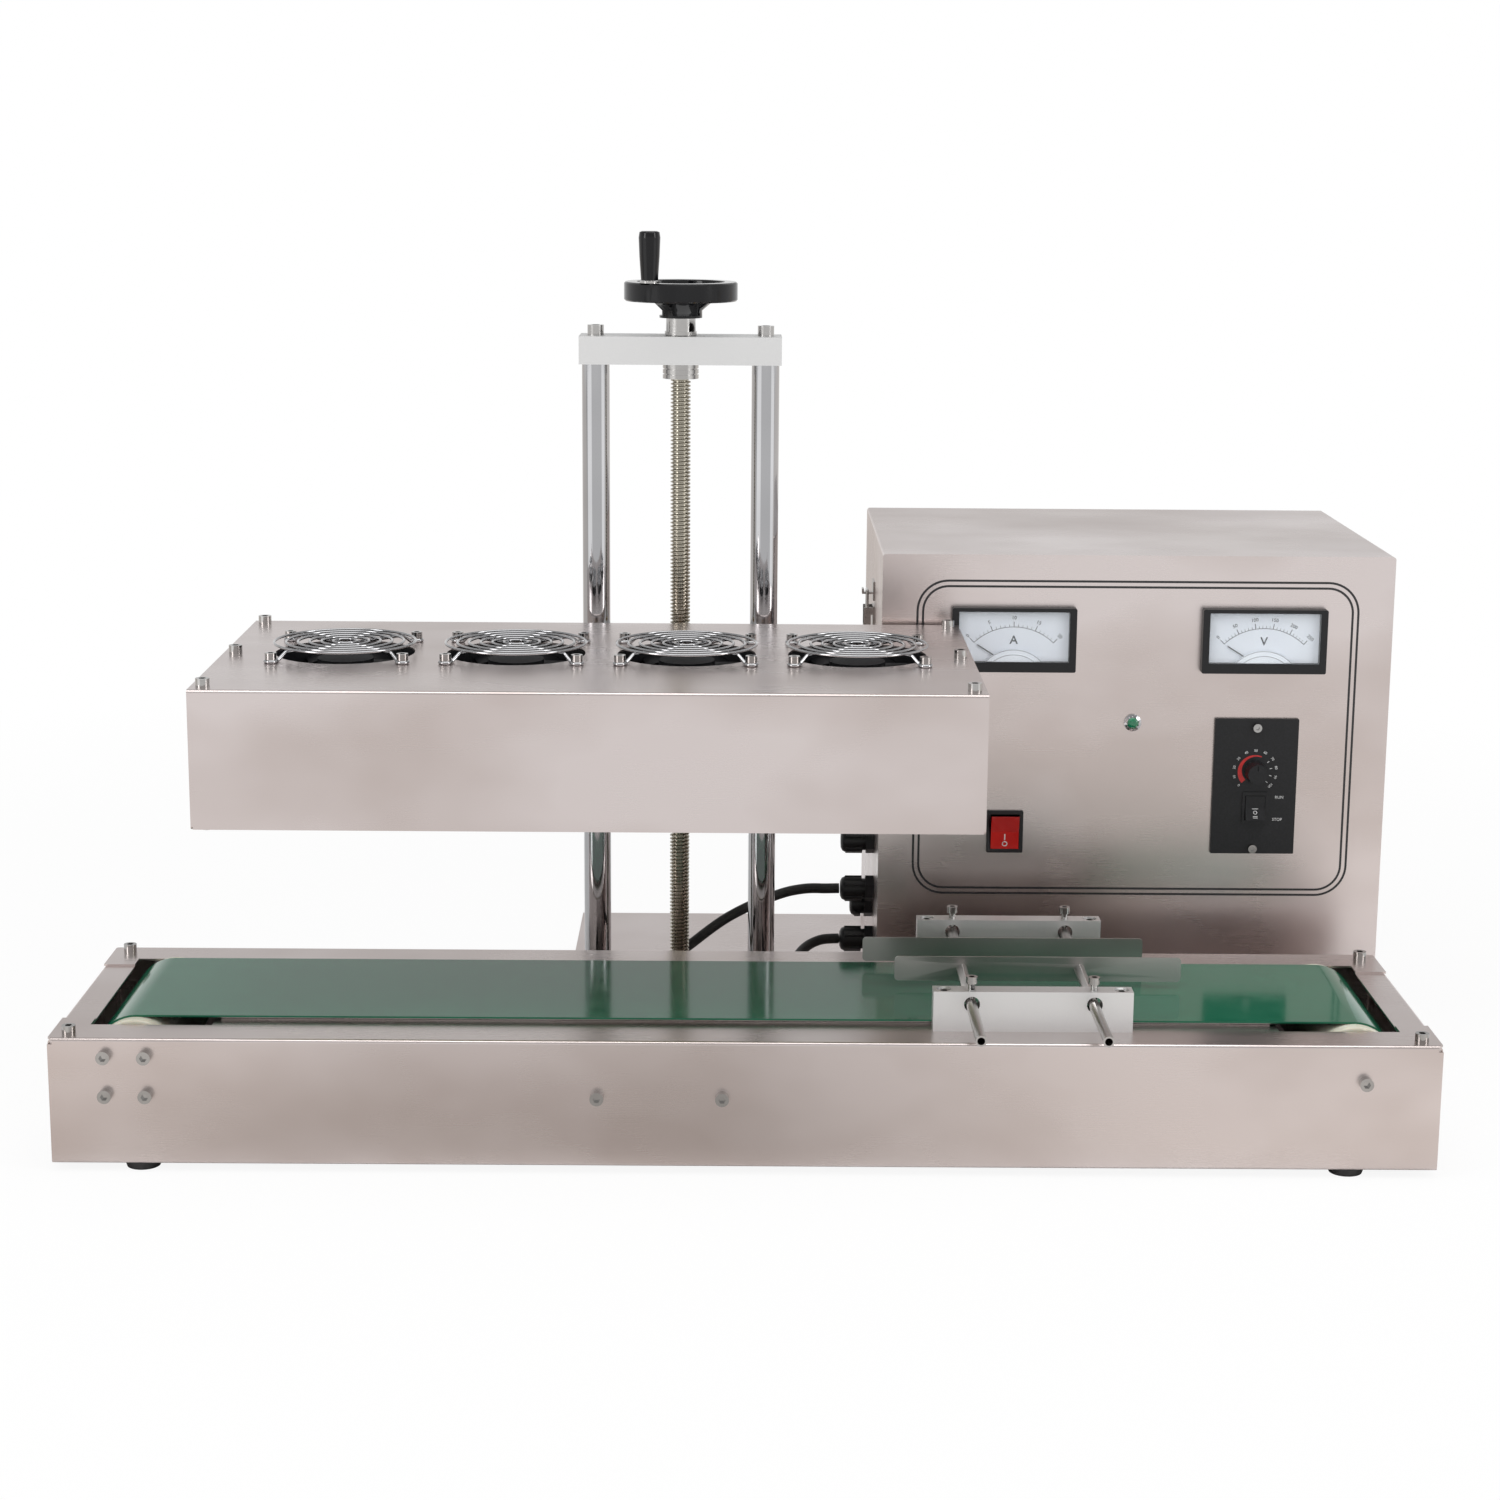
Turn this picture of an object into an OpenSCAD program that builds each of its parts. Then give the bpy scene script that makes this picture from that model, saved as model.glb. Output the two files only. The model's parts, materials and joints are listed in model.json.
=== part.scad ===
// Induction cap sealer: belt conveyor, lifting head, guides and cabinet
// X runs along the conveyor, Y away from the operator, Z up from the floor

/* [Conveyor frame] */
// Length of the conveyor over its side panels
frame_len = 1000; // [900:1:1200]
// Depth of the conveyor over its side panels
frame_depth = 240; // [230:1:280]
// Height of a side panel
side_h = 94; // [90:1:110]
// Sheet thickness of all folded pieces
sheet = 1.5; // [1.2:0.1:2]
// Outer radius of a sheet bend
bend_r = 2.5; // [2.2:0.1:4]
// Width of the top flange of a side panel
flange_w = 50; // [48:0.5:52]
// How far the top flange steps back beside the rollers
notch_depth = 16; // [12:0.5:18]
// Length of the stepped stretch beside each roller
notch_len = 88; // [80:1:95]
// Width of the top lip of an end piece
end_lip = 24; // [20:0.5:26]
// Width of the bottom flange of a side panel
lower_flange = 18; // [12:1:20]
// Diameter of a rubber foot at its top
foot_d = 28; // [22:1:34]
// Height of the part of a foot below the frame
foot_h = 6; // [4:0.5:12]
// Distance of a foot from the conveyor end
foot_inset = 63; // [40:1:90]

/* [Belt and rollers] */
// Space between an edge of the belt and the outside of the frame
belt_side = 45; // [44:1:50]
// Thickness of the belt
belt_t = 1.5; // [1.2:0.1:2]
// How far the belt runs above the frame top
belt_proud = 4; // [3.8:0.1:5]
// Diameter of the nylon rollers
roller_d = 60; // [56:1:62]
// Space between an end of a roller and the outside of the frame
roller_side = 36; // [35:1:40]
// Distance of a roller axis from the conveyor end
roller_inset = 55; // [54:0.5:60]
// Diameter of the drive shaft and of the idler axle
shaft_d = 15; // [12:1:16]
// Width of a bearing block
bearing_w = 46; // [42:1:48]
// Thickness of a bearing block
bearing_t = 12; // [10:1:13]
// Pitch of the bearing block screws
bearing_pitch = 29; // [26:1:32]
// Diameter of the toothed belt pulleys
pulley_d = 28; // [24:1:30]
// Diameter of the drive motor
motor_d = 48; // [40:1:50]
// Length of the drive motor body
motor_len = 112; // [90:1:120]
// Distance of the motor axis from the middle of the conveyor
motor_off = 62; // [50:1:100]
// Width of the crossmember that carries the motor
cross_w = 112; // [108:1:120]
// Pitch of the crossmember screws
cross_pitch = 90; // [80:1:92]

/* [Bottle guides] */
// Length of a guide block
block_len = 145; // [135:1:160]
// Width of a guide block
block_w = 15; // [14:0.5:17]
// Height of a guide block
block_h = 30; // [28:1:34]
// Distance of the blocks from the middle of the conveyor
block_x = 208; // [190:1:230]
// Set back of the front block from the front of the conveyor
block_front = 29; // [26:0.5:30]
// Pitch of the guide rods
rod_pitch = 89; // [80:1:95]
// Diameter of the rod bores in a block
rod_bore_d = 11.5; // [11:0.1:12]
// Outer diameter of a guide rod tube
rod_d = 8; // [7.5:0.1:9]
// Inner diameter of a guide rod tube
rod_inner_d = 5.5; // [4:0.1:6]
// Length of a front guide rod
front_rod_len = 180; // [160:1:200]
// Length of a rear guide rod
rear_rod_len = 62; // [58:1:64]
// Length of a guide plate
plate_len = 217; // [200:1:240]
// Height of a guide plate
plate_h = 19; // [17:0.5:20]
// Thickness of a guide plate
plate_t = 1.2; // [1:0.1:2]
// Distance of the front guide plate from the front of the conveyor
front_plate_y = 127; // [110:1:140]
// Distance of the rear guide plate from the front of the conveyor
rear_plate_y = 181; // [180:1:183]

/* [Sealing head] */
// Length of the head
head_len = 560; // [540:1:620]
// Depth of the head
head_depth = 300; // [290:1:303]
// Height of the head
head_h = 100; // [96:1:108]
// Middle of the head left of the middle of the conveyor
head_x = 112; // [100:1:120]
// Height of the underside of the head above the floor, as set
head_z = 254; // [240:1:280]
// Thickness of the coil base plate
base_t = 6; // [5:0.5:8]
// Inset of the cover screws from the head end
head_screw_inset = 9; // [8:0.5:11]
// Width of the end plate flanges
head_flange = 18; // [16:0.5:20]

/* [Fans] */
// Side of a fan frame
fan_w = 110; // [106:1:114]
// Depth of a fan frame
fan_t = 25; // [20:1:28]
// Pitch of the fan and guard screws
fan_screw_pitch = 96.5; // [94:0.5:98]
// Distance between fan centres
fan_pitch = 128; // [122:1:132]
// First fan centre from the left end of the head
fan_first = 90; // [84:1:96]
// Fan centres behind the middle of the head
fan_back = 7; // [-10:1:15]
// Bore of a fan frame
fan_bore = 104; // [100:1:105]
// Diameter of a fan hub
fan_hub_d = 42; // [38:1:46]
// Number of blades of a fan
blade_count = 7; // [5:1:9]
// Radius of the outer guard ring
guard_r = 52.5; // [50:0.5:53]
// Distance between guard rings
guard_step = 8.7; // [8:0.1:9]
// Wire diameter of the guard rings
guard_wire = 2; // [1.6:0.1:2.4]
// Wire diameter of the guard spokes
spoke_wire = 2.6; // [2.2:0.1:3]
// Height of the guard spokes above the cover
guard_rise = 5; // [4:0.5:7]

/* [Lift] */
// Middle of the lift left of the middle of the conveyor
lift_x = 54.5; // [50:0.5:60]
// Lift axis behind the back of the head
lift_back = 30; // [29:0.5:36]
// Diameter of a column
column_d = 22; // [20:0.5:24]
// Distance between the columns
column_pitch = 135; // [130:1:140]
// Length of a crossbar
bar_len = 160; // [158:1:170]
// Depth of a crossbar
bar_d = 40; // [36:1:44]
// Height of a crossbar
bar_h = 22; // [20:1:24]
// Height of the top of the upper crossbar above the floor
bar_top = 580; // [570:1:620]
// Diameter of the lead screw
screw_d = 16; // [15:0.5:18]
// Diameter of the journals of the lead screw
journal_d = 12; // [10:0.5:12]
// Height of the lock ring stack under the crossbar
lock_h = 11.4; // [9:0.1:13]
// Diameter of the lock rings
lock_d = 28.6; // [26:0.2:30]
// Diameter of the spacer sleeve under the wheel
sleeve_d = 23.5; // [22:0.5:26]
// Height of the spacer sleeve
sleeve_h = 14; // [12:0.5:20]
// Width of the head carriage
carriage_w = 185; // [182:1:200]
// Height of the head carriage
carriage_h = 80; // [60:1:90]
// Depth of the head carriage
carriage_d = 58; // [56:1:64]
// Outer diameter of a column bush
bush_d = 32; // [30:1:34]

/* [Handwheel] */
// Diameter of the handwheel
wheel_d = 90; // [84:1:110]
// Height of the handwheel rim
rim_h = 15; // [12:0.5:18]
// Radial thickness of the rim
rim_t = 11; // [9:0.5:12]
// Diameter of the hub flange
hub_d = 34; // [32:0.5:36]
// Height of the hub flange
hub_flange_h = 5.7; // [5:0.1:8]
// Height of the conical part of the hub
cone_h = 7.5; // [6:0.5:9]
// Distance of the grip from the wheel axis
grip_r = 38; // [36:0.5:39]
// Direction of the grip, counted from +X
grip_angle = 231; // [0:1:359]
// Length of the revolving grip
grip_h = 38; // [30:1:50]
// Diameter of the grip at its foot
grip_d0 = 13.4; // [12:0.2:14]
// Diameter of the grip at its top
grip_d1 = 17; // [15:0.2:20]

/* [Cabinet] */
// Width of the cabinet
cab_w = 411; // [380:1:440]
// Depth of the cabinet
cab_d = 298; // [260:1:320]
// Height of the cabinet top above the floor
cab_top = 409; // [395:1:440]
// Left side of the cabinet right of the middle of the conveyor
cab_x = 108; // [106:0.5:112]
// Space between the back of the head and the cabinet
cab_gap = 12; // [11:0.5:30]
// Height of the side skirts of the lid
lid_skirt = 60; // [50:1:70]
// Height of the front edge of the lid
lid_front = 4; // [3:0.5:6]
// Height of the base tray
tray_h = 24; // [20:1:30]
// Width of the front flange of a meter
meter_w = 100; // [94:1:104]
// Height of the front flange of a meter
meter_h = 52; // [48:1:60]
// Width of the window of a meter
window_w = 89; // [80:1:90]
// Height of the window of a meter
window_h = 41; // [36:1:42]
// Height of the meter centres above the floor
meter_z = 341; // [330:0.5:345]
// Width of the speed control panel
speed_w = 68; // [64:1:74]
// Height of the speed control panel
speed_h = 112; // [108:1:120]
// Width of a power switch frame
power_w = 29.5; // [27:0.1:32]
// Height of a power switch frame
power_h = 35; // [32:0.5:38]

/* [Hidden] */
$fn = 64;

// Overrun of every cut
eps = 1;
// Radial running clearance of shafts, rods and bushes
run_gap = 0.05;
// Clearance between moving pieces that pass each other
air_gap = 0.4;
// Clearance hole of a screw, added to its diameter
hole_gap = 0.3;

// Depth of the rod bores under the top of a block
rod_bore_drop = 9.5;
// How far the front rods stand out before the conveyor
front_rod_out = front_rod_len - front_plate_y;

// Thickness of the flange of the mains inlet
inlet_flange_t = 3;

// Heights and places worked out from the frame
frame_bottom = foot_h;
frame_top = frame_bottom + side_h;
axis_z = frame_top + belt_proud - belt_t - roller_d / 2;
roller_x = frame_len / 2 - roller_inset;
belt_w = frame_depth - 2 * belt_side;
roller_len = frame_depth - 2 * roller_side;
tray_top = frame_bottom + tray_h;
fan_y = head_depth / 2 + fan_back;
lift_y = head_depth + lift_back;
cab_y = head_depth + cab_gap;
cab_h = cab_top - tray_top;
head_left = -head_x - head_len / 2;
head_top = head_z + head_h;
bar_z = bar_top - bar_h;
carriage_z = head_z + (head_h - carriage_h) / 2;
wheel_z = bar_top + sleeve_h;
rim_z = wheel_z + hub_flange_h + cone_h;
rod_z = frame_top + block_h - rod_bore_drop - rod_bore_d / 2 + rod_d / 2 + run_gap;
shift_x = (cab_x + cab_w - frame_len / 2) / 2;
shift_y = (cab_y + cab_d + inlet_flange_t - front_rod_out) / 2;

// Socket head cap screws: thread diameter, head diameter, head height
m4 = [4, 7, 4];
m5 = [5, 8.5, 5];
m6 = [6, 10, 6];
m8 = [8, 13, 8];
// Depth of a hexagon socket as a share of its head
socket_share = 0.55;
// Width of a hexagon socket as a share of the thread
hex_share = 0.9;

// Puts the whole machine on its reference point
module place() {
    translate([-shift_x, -shift_y, 0]) children();
}

// Square with round corners, from its middle
module round_plate(size, r) {
    square([size.x - 2 * r, size.y], center = true);
    square([size.x, size.y - 2 * r], center = true);
    for (sx = [-1, 1], sy = [-1, 1])
        translate([sx * (size.x / 2 - r), sy * (size.y / 2 - r)]) circle(r);
}

// Channel section: wall at the left, a flange at the top and one at the bottom
module channel(top_w, low_w, h) {
    deep = max(top_w, low_w) + 2 * bend_r;
    difference() {
        translate([deep / 2, h / 2]) round_plate([deep, h], bend_r);
        translate([deep / 2 + sheet, h / 2])
            round_plate([deep, h - 2 * sheet], bend_r - sheet);
        translate([top_w, h / 2]) square([deep, h]);
        translate([low_w, -eps]) square([deep, h / 2 + 2 * eps]);
    }
}

// Stands a profile drawn in depth and height along the conveyor
module along_x(len) {
    rotate([90, 0, 90]) linear_extrude(len) children();
}

// Socket head cap screw, pointing down from the seat at zero
module cap_screw(size, len) {
    difference() {
        union() {
            cylinder(d = size[1], h = size[2]);
            translate([0, 0, -len]) cylinder(d = size[0], h = len + eps);
        }
        translate([0, 0, size[2] * (1 - socket_share)])
            cylinder(d = size[0] * hex_share, h = size[2], $fn = 6);
    }
}

// Screw that points away from the operator, head at the front face
module front_screw(x, y, z, size, len) {
    translate([x, y, z]) rotate([90, 0, 0]) cap_screw(size, len);
}

// Screw that points towards the operator, head at the rear face
module rear_screw(x, y, z, size, len) {
    translate([x, y, z]) rotate([-90, 0, 0]) cap_screw(size, len);
}

// Places of the side panel screws, in X and Z
bearing_screws = [for (sx = [-1, 1], sz = [-1, 1])
    [-roller_x + sx * bearing_pitch / 2, axis_z + sz * bearing_pitch / 2]];
cross_screw_up = 52.4;
cross_screw_z = frame_bottom + cross_screw_up;
cross_screws = [for (sx = [-1, 1]) [-motor_off + sx * cross_pitch / 2, cross_screw_z]];
idler_screws = [[roller_x, axis_z]];
panel_screws = concat(bearing_screws, cross_screws, idler_screws);
corner_screw_in = 13;
corner_screw_x = frame_len / 2 - corner_screw_in;
corner_screw_y = 13;
corner_screws = [for (sx = [-1, 1], sy = [0, 1])
    [sx * corner_screw_x, sy == 0 ? corner_screw_y : frame_depth - corner_screw_y]];
block_screw_inset = 8;
block_screw_x = [for (s = [-1, 1]) block_x + s * (block_len / 2 - block_screw_inset)];
rod_x = [for (s = [-1, 1]) block_x + s * rod_pitch / 2];
block_y = [block_front, frame_depth - block_w];

foot_x = frame_len / 2 - foot_inset;
// Guide block screws behind the outer face of each panel
front_block_hole = block_front + block_w / 2;
rear_block_hole = block_w / 2;

// Folded side panel, its outer face at zero
module side_panel(block_hole_y) {
    mid_len = frame_len - 2 * (end_lip + notch_len);
    difference() {
        translate([-frame_len / 2, 0, frame_bottom])
            along_x(frame_len) channel(flange_w, lower_flange, side_h);
        for (s = [-1, 1])
            translate([s * (mid_len + notch_len) / 2, flange_w, frame_top])
                cube([notch_len, 2 * notch_depth, 4 * sheet], center = true);
        for (s = [-1, 1]) translate([s * frame_len / 2, 0, frame_top])
            rotate(45) cube([2 * bend_r, 2 * bend_r, 6 * sheet], center = true);
        for (p = panel_screws) translate([p.x, -eps, p.y]) rotate([-90, 0, 0])
            cylinder(d = m6[0] + hole_gap, h = 2 * bend_r);
        for (s = [-1, 1]) translate([s * corner_screw_x, corner_screw_y, frame_top - 2 * bend_r])
            cylinder(d = m6[0] + hole_gap, h = 4 * bend_r);
        for (x = block_screw_x) translate([x, block_hole_y, frame_top - 2 * bend_r])
            cylinder(d = m6[0] + hole_gap, h = 4 * bend_r);
    }
}

module side_panel_front() {
    color("#b9b2ac") side_panel(front_block_hole);
}

module side_panel_rear() {
    color("#b9b2ac") difference() {
        translate([0, frame_depth, 0]) mirror([0, 1, 0]) side_panel(rear_block_hole);
        for (x = lead_gland_x)
            translate([x, frame_depth + eps, lead_gland_z]) rotate([90, 0, 0])
                cylinder(d = gland_thread_d + hole_gap, h = 4 * sheet);
    }
}

// Folded end piece: wall, top lip, bottom lip
module end_piece() {
    depth = frame_depth - 2 * bend_r;
    top = frame_top - sheet;
    difference() {
        translate([-frame_len / 2, frame_depth - bend_r, frame_bottom + sheet])
            rotate([90, 0, 0]) linear_extrude(depth)
                channel(end_lip, lower_flange, side_h - 2 * sheet);
        for (y = [corner_screw_y, frame_depth - corner_screw_y])
            translate([-corner_screw_x, y, top - 2 * bend_r])
                cylinder(d = m6[0] + hole_gap, h = 4 * bend_r);
    }
}

module end_pieces() {
    color("#b5aeaa") {
        end_piece();
        mirror([1, 0, 0]) end_piece();
    }
}

// Plate under the carrying run, a hat section
bed_end_gap = 4;
bed_len = frame_len - 2 * (end_lip + notch_len + bed_end_gap);
bed_t = 2;
bed_gap = 0.3;
bed_foot = 30;
bed_side_gap = 3;
module slider_bed() {
    hat_top = axis_z + roller_d / 2 - bed_gap;
    y0 = flange_w + bed_side_gap;
    y1 = frame_depth - y0;
    low = frame_top - sheet;
    color("#a9a5a2") difference() {
        translate([-bed_len / 2, 0, 0]) along_x(bed_len) union() {
            translate([y0, hat_top - bed_t]) square([y1 - y0, bed_t]);
            for (s = [0, 1]) translate([s == 0 ? y0 - bed_foot : y1, low - bed_t])
                square([bed_foot, bed_t]);
            for (y = [y0 - bed_t, y1]) translate([y, low - bed_t])
                square([bed_t, hat_top - low + bed_t]);
        }
        for (x = block_screw_x) translate([x, front_block_hole, low - bed_t - eps])
            cylinder(d = m6[0] + hole_gap, h = bed_t + 2 * eps);
    }
}

// Endless belt round both rollers
module belt_outline(r) {
    square([2 * roller_x, 2 * r], center = true);
    for (s = [-1, 1]) translate([s * roller_x, 0]) circle(r, $fn = 96);
}

module conveyor_belt() {
    color("#1f6b48") translate([0, belt_side + belt_w, axis_z]) rotate([90, 0, 0])
        linear_extrude(belt_w) difference() {
            belt_outline(roller_d / 2 + belt_t);
            belt_outline(roller_d / 2 + run_gap);
        }
}

// Roller body on its axis, from its front face backwards
module roller_body(bore) {
    edge = 1.5;
    rotate([-90, 0, 0]) rotate_extrude($fn = 96) polygon([
        [bore / 2, 0], [roller_d / 2 - edge, 0], [roller_d / 2, edge],
        [roller_d / 2, roller_len - edge], [roller_d / 2 - edge, roller_len],
        [bore / 2, roller_len]
    ]);
}

module drive_roller() {
    color("#e8e4d2") translate([-roller_x, roller_side, axis_z])
        roller_body(shaft_d + 2 * run_gap);
}

module idler_roller() {
    color("#e8e4d2") translate([roller_x, roller_side, axis_z])
        roller_body(shaft_d + 2 * run_gap);
}

// Drive shaft with its toothed pulley beside the roller
pulley_t = 14;
pulley_gap = 1.5;
pulley_y = sheet + bearing_t + pulley_gap;
tooth_count = 20;
tooth_deep = 1.2;
module pulley_body(bore) {
    rotate([-90, 0, 0]) difference() {
        cylinder(d = pulley_d, h = pulley_t);
        if (bore > 0) translate([0, 0, -eps]) cylinder(d = bore, h = pulley_t + 2 * eps);
        for (i = [0:tooth_count - 1]) rotate(i * 360 / tooth_count)
            translate([pulley_d / 2, 0, -eps])
                cylinder(d = 2 * tooth_deep, h = pulley_t + 2 * eps, $fn = 16);
    }
}

module drive_shaft() {
    end = sheet + pulley_gap;
    color("#c9c9c7") translate([-roller_x, 0, axis_z]) union() {
        translate([0, end, 0]) rotate([-90, 0, 0])
            cylinder(d = shaft_d, h = frame_depth - 2 * end);
        translate([0, pulley_y, 0]) pulley_body(0);
    }
}

module motor_pulley() {
    color("#c9c9c7") translate([-motor_off, 0, motor_z]) union() {
        translate([0, pulley_y, 0]) pulley_body(0);
        translate([0, pulley_y + pulley_t - eps, 0]) rotate([-90, 0, 0])
            cylinder(d = motor_shaft_d, h = motor_y - pulley_y - pulley_t + motor_nose + eps);
    }
}

// Toothed belt between the motor and the drive shaft
timing_t = 2;
timing_gap = 0.3;
timing_w = 10;
module timing_belt() {
    run = roller_x - motor_off;
    r0 = pulley_d / 2 + timing_gap;
    mid = (roller_x + motor_off) / 2;
    color("#222222") translate([-mid, pulley_y + (pulley_t + timing_w) / 2, axis_z])
        rotate([90, 0, 0]) linear_extrude(timing_w) difference() {
            timing_outline(run, r0 + timing_t);
            timing_outline(run, r0);
        }
}

module timing_outline(run, r) {
    square([run, 2 * r], center = true);
    for (s = [-1, 1]) translate([s * run / 2, 0]) circle(r);
}

// Bearing block with a round boss, bolted to the panel by four screws
module bearing_block() {
    corner = 4;
    difference() {
        translate([0, bearing_t, 0]) rotate([90, 0, 0]) linear_extrude(bearing_t)
            round_plate([bearing_w, bearing_w], corner);
        translate([0, -eps, 0]) rotate([-90, 0, 0])
            cylinder(d = shaft_d + 2 * run_gap, h = bearing_t + 2 * eps);
        for (sx = [-1, 1], sz = [-1, 1])
            translate([sx * bearing_pitch / 2, -eps, sz * bearing_pitch / 2])
                rotate([-90, 0, 0]) cylinder(d = m6[0] + hole_gap, h = bearing_t + 2 * eps);
    }
}

module bearing_blocks() {
    color("#8d8f90") {
        translate([-roller_x, sheet, axis_z]) bearing_block();
        translate([-roller_x, frame_depth - sheet - bearing_t, axis_z]) bearing_block();
    }
}

// Idler axle in two slotted brackets, each with a tab for its tension screw
bracket_t = 5;
bracket_w = 44;
bracket_h = 36;
tab_d = 30;
module idler_bracket() {
    difference() {
        union() {
            translate([0, bracket_t, 0]) rotate([90, 0, 0]) linear_extrude(bracket_t)
                round_plate([bracket_w, bracket_h], bracket_t / 2);
            translate([bracket_w / 2 - bracket_t, 0, -bracket_h / 2])
                cube([bracket_t, tab_d, bracket_h]);
        }
        translate([0, -eps, 0]) rotate([-90, 0, 0])
            cylinder(d = m6[0] + hole_gap, h = bracket_t + 2 * eps);
        translate([bracket_w / 2 - bracket_t - eps, tab_d - m6[1], 0]) rotate([0, 90, 0])
            cylinder(d = m6[0], h = bracket_t + 2 * eps);
    }
}

module idler_mount() {
    axle_len = frame_depth - 2 * (sheet + bracket_t);
    tap = 18;
    color("#c4c4c4") translate([roller_x, 0, axis_z]) {
        translate([0, sheet, 0]) idler_bracket();
        translate([0, frame_depth - sheet, 0]) mirror([0, 1, 0]) idler_bracket();
        translate([0, sheet + bracket_t, 0]) rotate([-90, 0, 0]) difference() {
            cylinder(d = shaft_d, h = axle_len);
            for (z = [-eps, axle_len - tap]) translate([0, 0, z])
                cylinder(d = m6[0] + hole_gap, h = tap + eps);
        }
    }
}

// Channel across the frame inside the belt loop
motor_z = axis_z;
motor_y = 44;
motor_nose = 6;
motor_shaft_d = 8;
web_z = axis_z - motor_d / 2 - sheet;
tab_top = cross_screw_z + m6[1];
module crossmember() {
    y0 = sheet;
    y1 = frame_depth - sheet;
    color("#b0aca9") difference() {
        translate([-motor_off - cross_w / 2, 0, 0]) along_x(cross_w) union() {
            translate([y0, web_z]) square([y1 - y0, sheet]);
            for (y = [y0, y1 - sheet]) translate([y, web_z]) square([sheet, tab_top - web_z]);
        }
        for (p = cross_screws) translate([p.x, -eps, p.y]) rotate([-90, 0, 0])
            cylinder(d = m6[0] + hole_gap, h = frame_depth + 2 * eps);
    }
}

// Gear motor on the crossmember
module drive_motor() {
    fin = 1.2;
    fin_count = 9;
    box_h = 14;
    color("#3a3d40") translate([-motor_off, motor_y, motor_z]) difference() {
        union() {
            rotate([-90, 0, 0]) cylinder(d = motor_d, h = motor_len);
            translate([-motor_d / 2, motor_len - motor_d / 2, -motor_d / 4])
                cube([motor_d / 2, motor_d / 2 - box_h / 2, box_h]);
        }
        translate([0, -eps, 0]) rotate([-90, 0, 0])
            cylinder(d = motor_shaft_d + 2 * run_gap, h = motor_nose + eps + air_gap);
        for (i = [1:fin_count]) translate([0, motor_d / 2 + i * motor_len / (2 * fin_count), 0])
            rotate([-90, 0, 0]) difference() {
                cylinder(d = motor_d + eps, h = fin);
                cylinder(d = motor_d - 4 * fin, h = fin);
            }
    }
}

// Rubber feet under the panels and under the rear of the tray
tray_side = 15;
tray_left = -lift_x - bar_len / 2 - tray_side;
tray_right = cab_x + cab_w;
tray_back = cab_y + cab_d;
module rubber_foot() {
    taper = 2;
    hole = 10;
    difference() {
        cylinder(d1 = foot_d - 2 * taper, d2 = foot_d, h = foot_h);
        translate([0, 0, -eps]) cylinder(d = hole, h = foot_h / 2 + eps);
    }
}

foot_places = concat(
    [for (s = [-1, 1]) [s * foot_x, foot_d / 2 + sheet]],
    [for (s = [-1, 1]) [s * foot_x, frame_depth - foot_d / 2 - sheet]],
    [[tray_left + foot_d, tray_back - foot_d], [tray_right - foot_d, tray_back - foot_d]]
);

module rubber_feet() {
    color("#1b1b1b") for (p = foot_places) translate([p.x, p.y, 0]) rubber_foot();
}

// Folded tray behind the conveyor that carries the lift and the cabinet
module base_tray() {
    len = tray_right - tray_left;
    y0 = frame_depth;
    y1 = tray_back;
    color("#aaa6a3") difference() {
        translate([tray_left, y0, frame_bottom]) cube([len, y1 - y0, tray_h]);
        translate([tray_left + sheet, y0 + sheet, frame_bottom - eps])
            cube([len - 2 * sheet, y1 - y0 - 2 * sheet, tray_h - sheet + eps]);
        for (x = [-lift_x - column_pitch / 2, -lift_x + column_pitch / 2])
            translate([x, lift_y, tray_top - 2 * sheet])
                cylinder(d = m8[0] + hole_gap, h = 4 * sheet);
    }
    color("#aaa6a3") for (p = [foot_places[4], foot_places[5]])
        translate([p.x, p.y, frame_bottom]) cylinder(d = foot_d, h = tray_h - sheet);
}

// Screws of the frame, blocks, crossbars and speed panel
panel_screw_len = 16;
corner_screw_len = 12;
block_screw_len = 34;
sink = 7;
clamp_rise = 4.5;
module frame_screws() {
    clamp_len = block_h + clamp_rise - (rod_z + rod_d / 2 + air_gap - frame_top);
    color("#c8c6c2") {
        for (p = panel_screws) {
            front_screw(p.x, 0, p.y, m6, p.x > 0 ? panel_screw_len
                : p.y == cross_screw_z ? 2 * sheet : bearing_t);
            rear_screw(p.x, frame_depth, p.y, m6, p.x > 0 ? panel_screw_len
                : p.y == cross_screw_z ? 2 * sheet : bearing_t);
        }
        for (p = corner_screws) translate([p.x, p.y, frame_top]) cap_screw(m6, corner_screw_len);
        for (y = block_y, x = block_screw_x) translate([x, y + block_w / 2, frame_top])
            translate([0, 0, block_h - sink]) cap_screw(m6, block_h - sink + 2 * sheet);
        for (y = block_y, x = rod_x) translate([x, y + block_w / 2, frame_top + block_h])
            translate([0, 0, clamp_rise]) cap_screw(m5, clamp_len);
        for (s = [-1, 1]) translate([-lift_x + s * column_pitch / 2, lift_y, bar_top])
            cap_screw(m8, bar_h + column_tap - sheet);
        for (s = [-1, 1]) translate([-lift_x + s * column_pitch / 2, lift_y, tray_top - sheet])
            mirror([0, 0, 1]) cap_screw(m8, bar_h + sheet + column_tap - sheet);
        for (z = speed_screw_z) front_screw(speed_x, cab_y - speed_t, z, m4, speed_t + 2 * sheet);
    }
}

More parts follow.
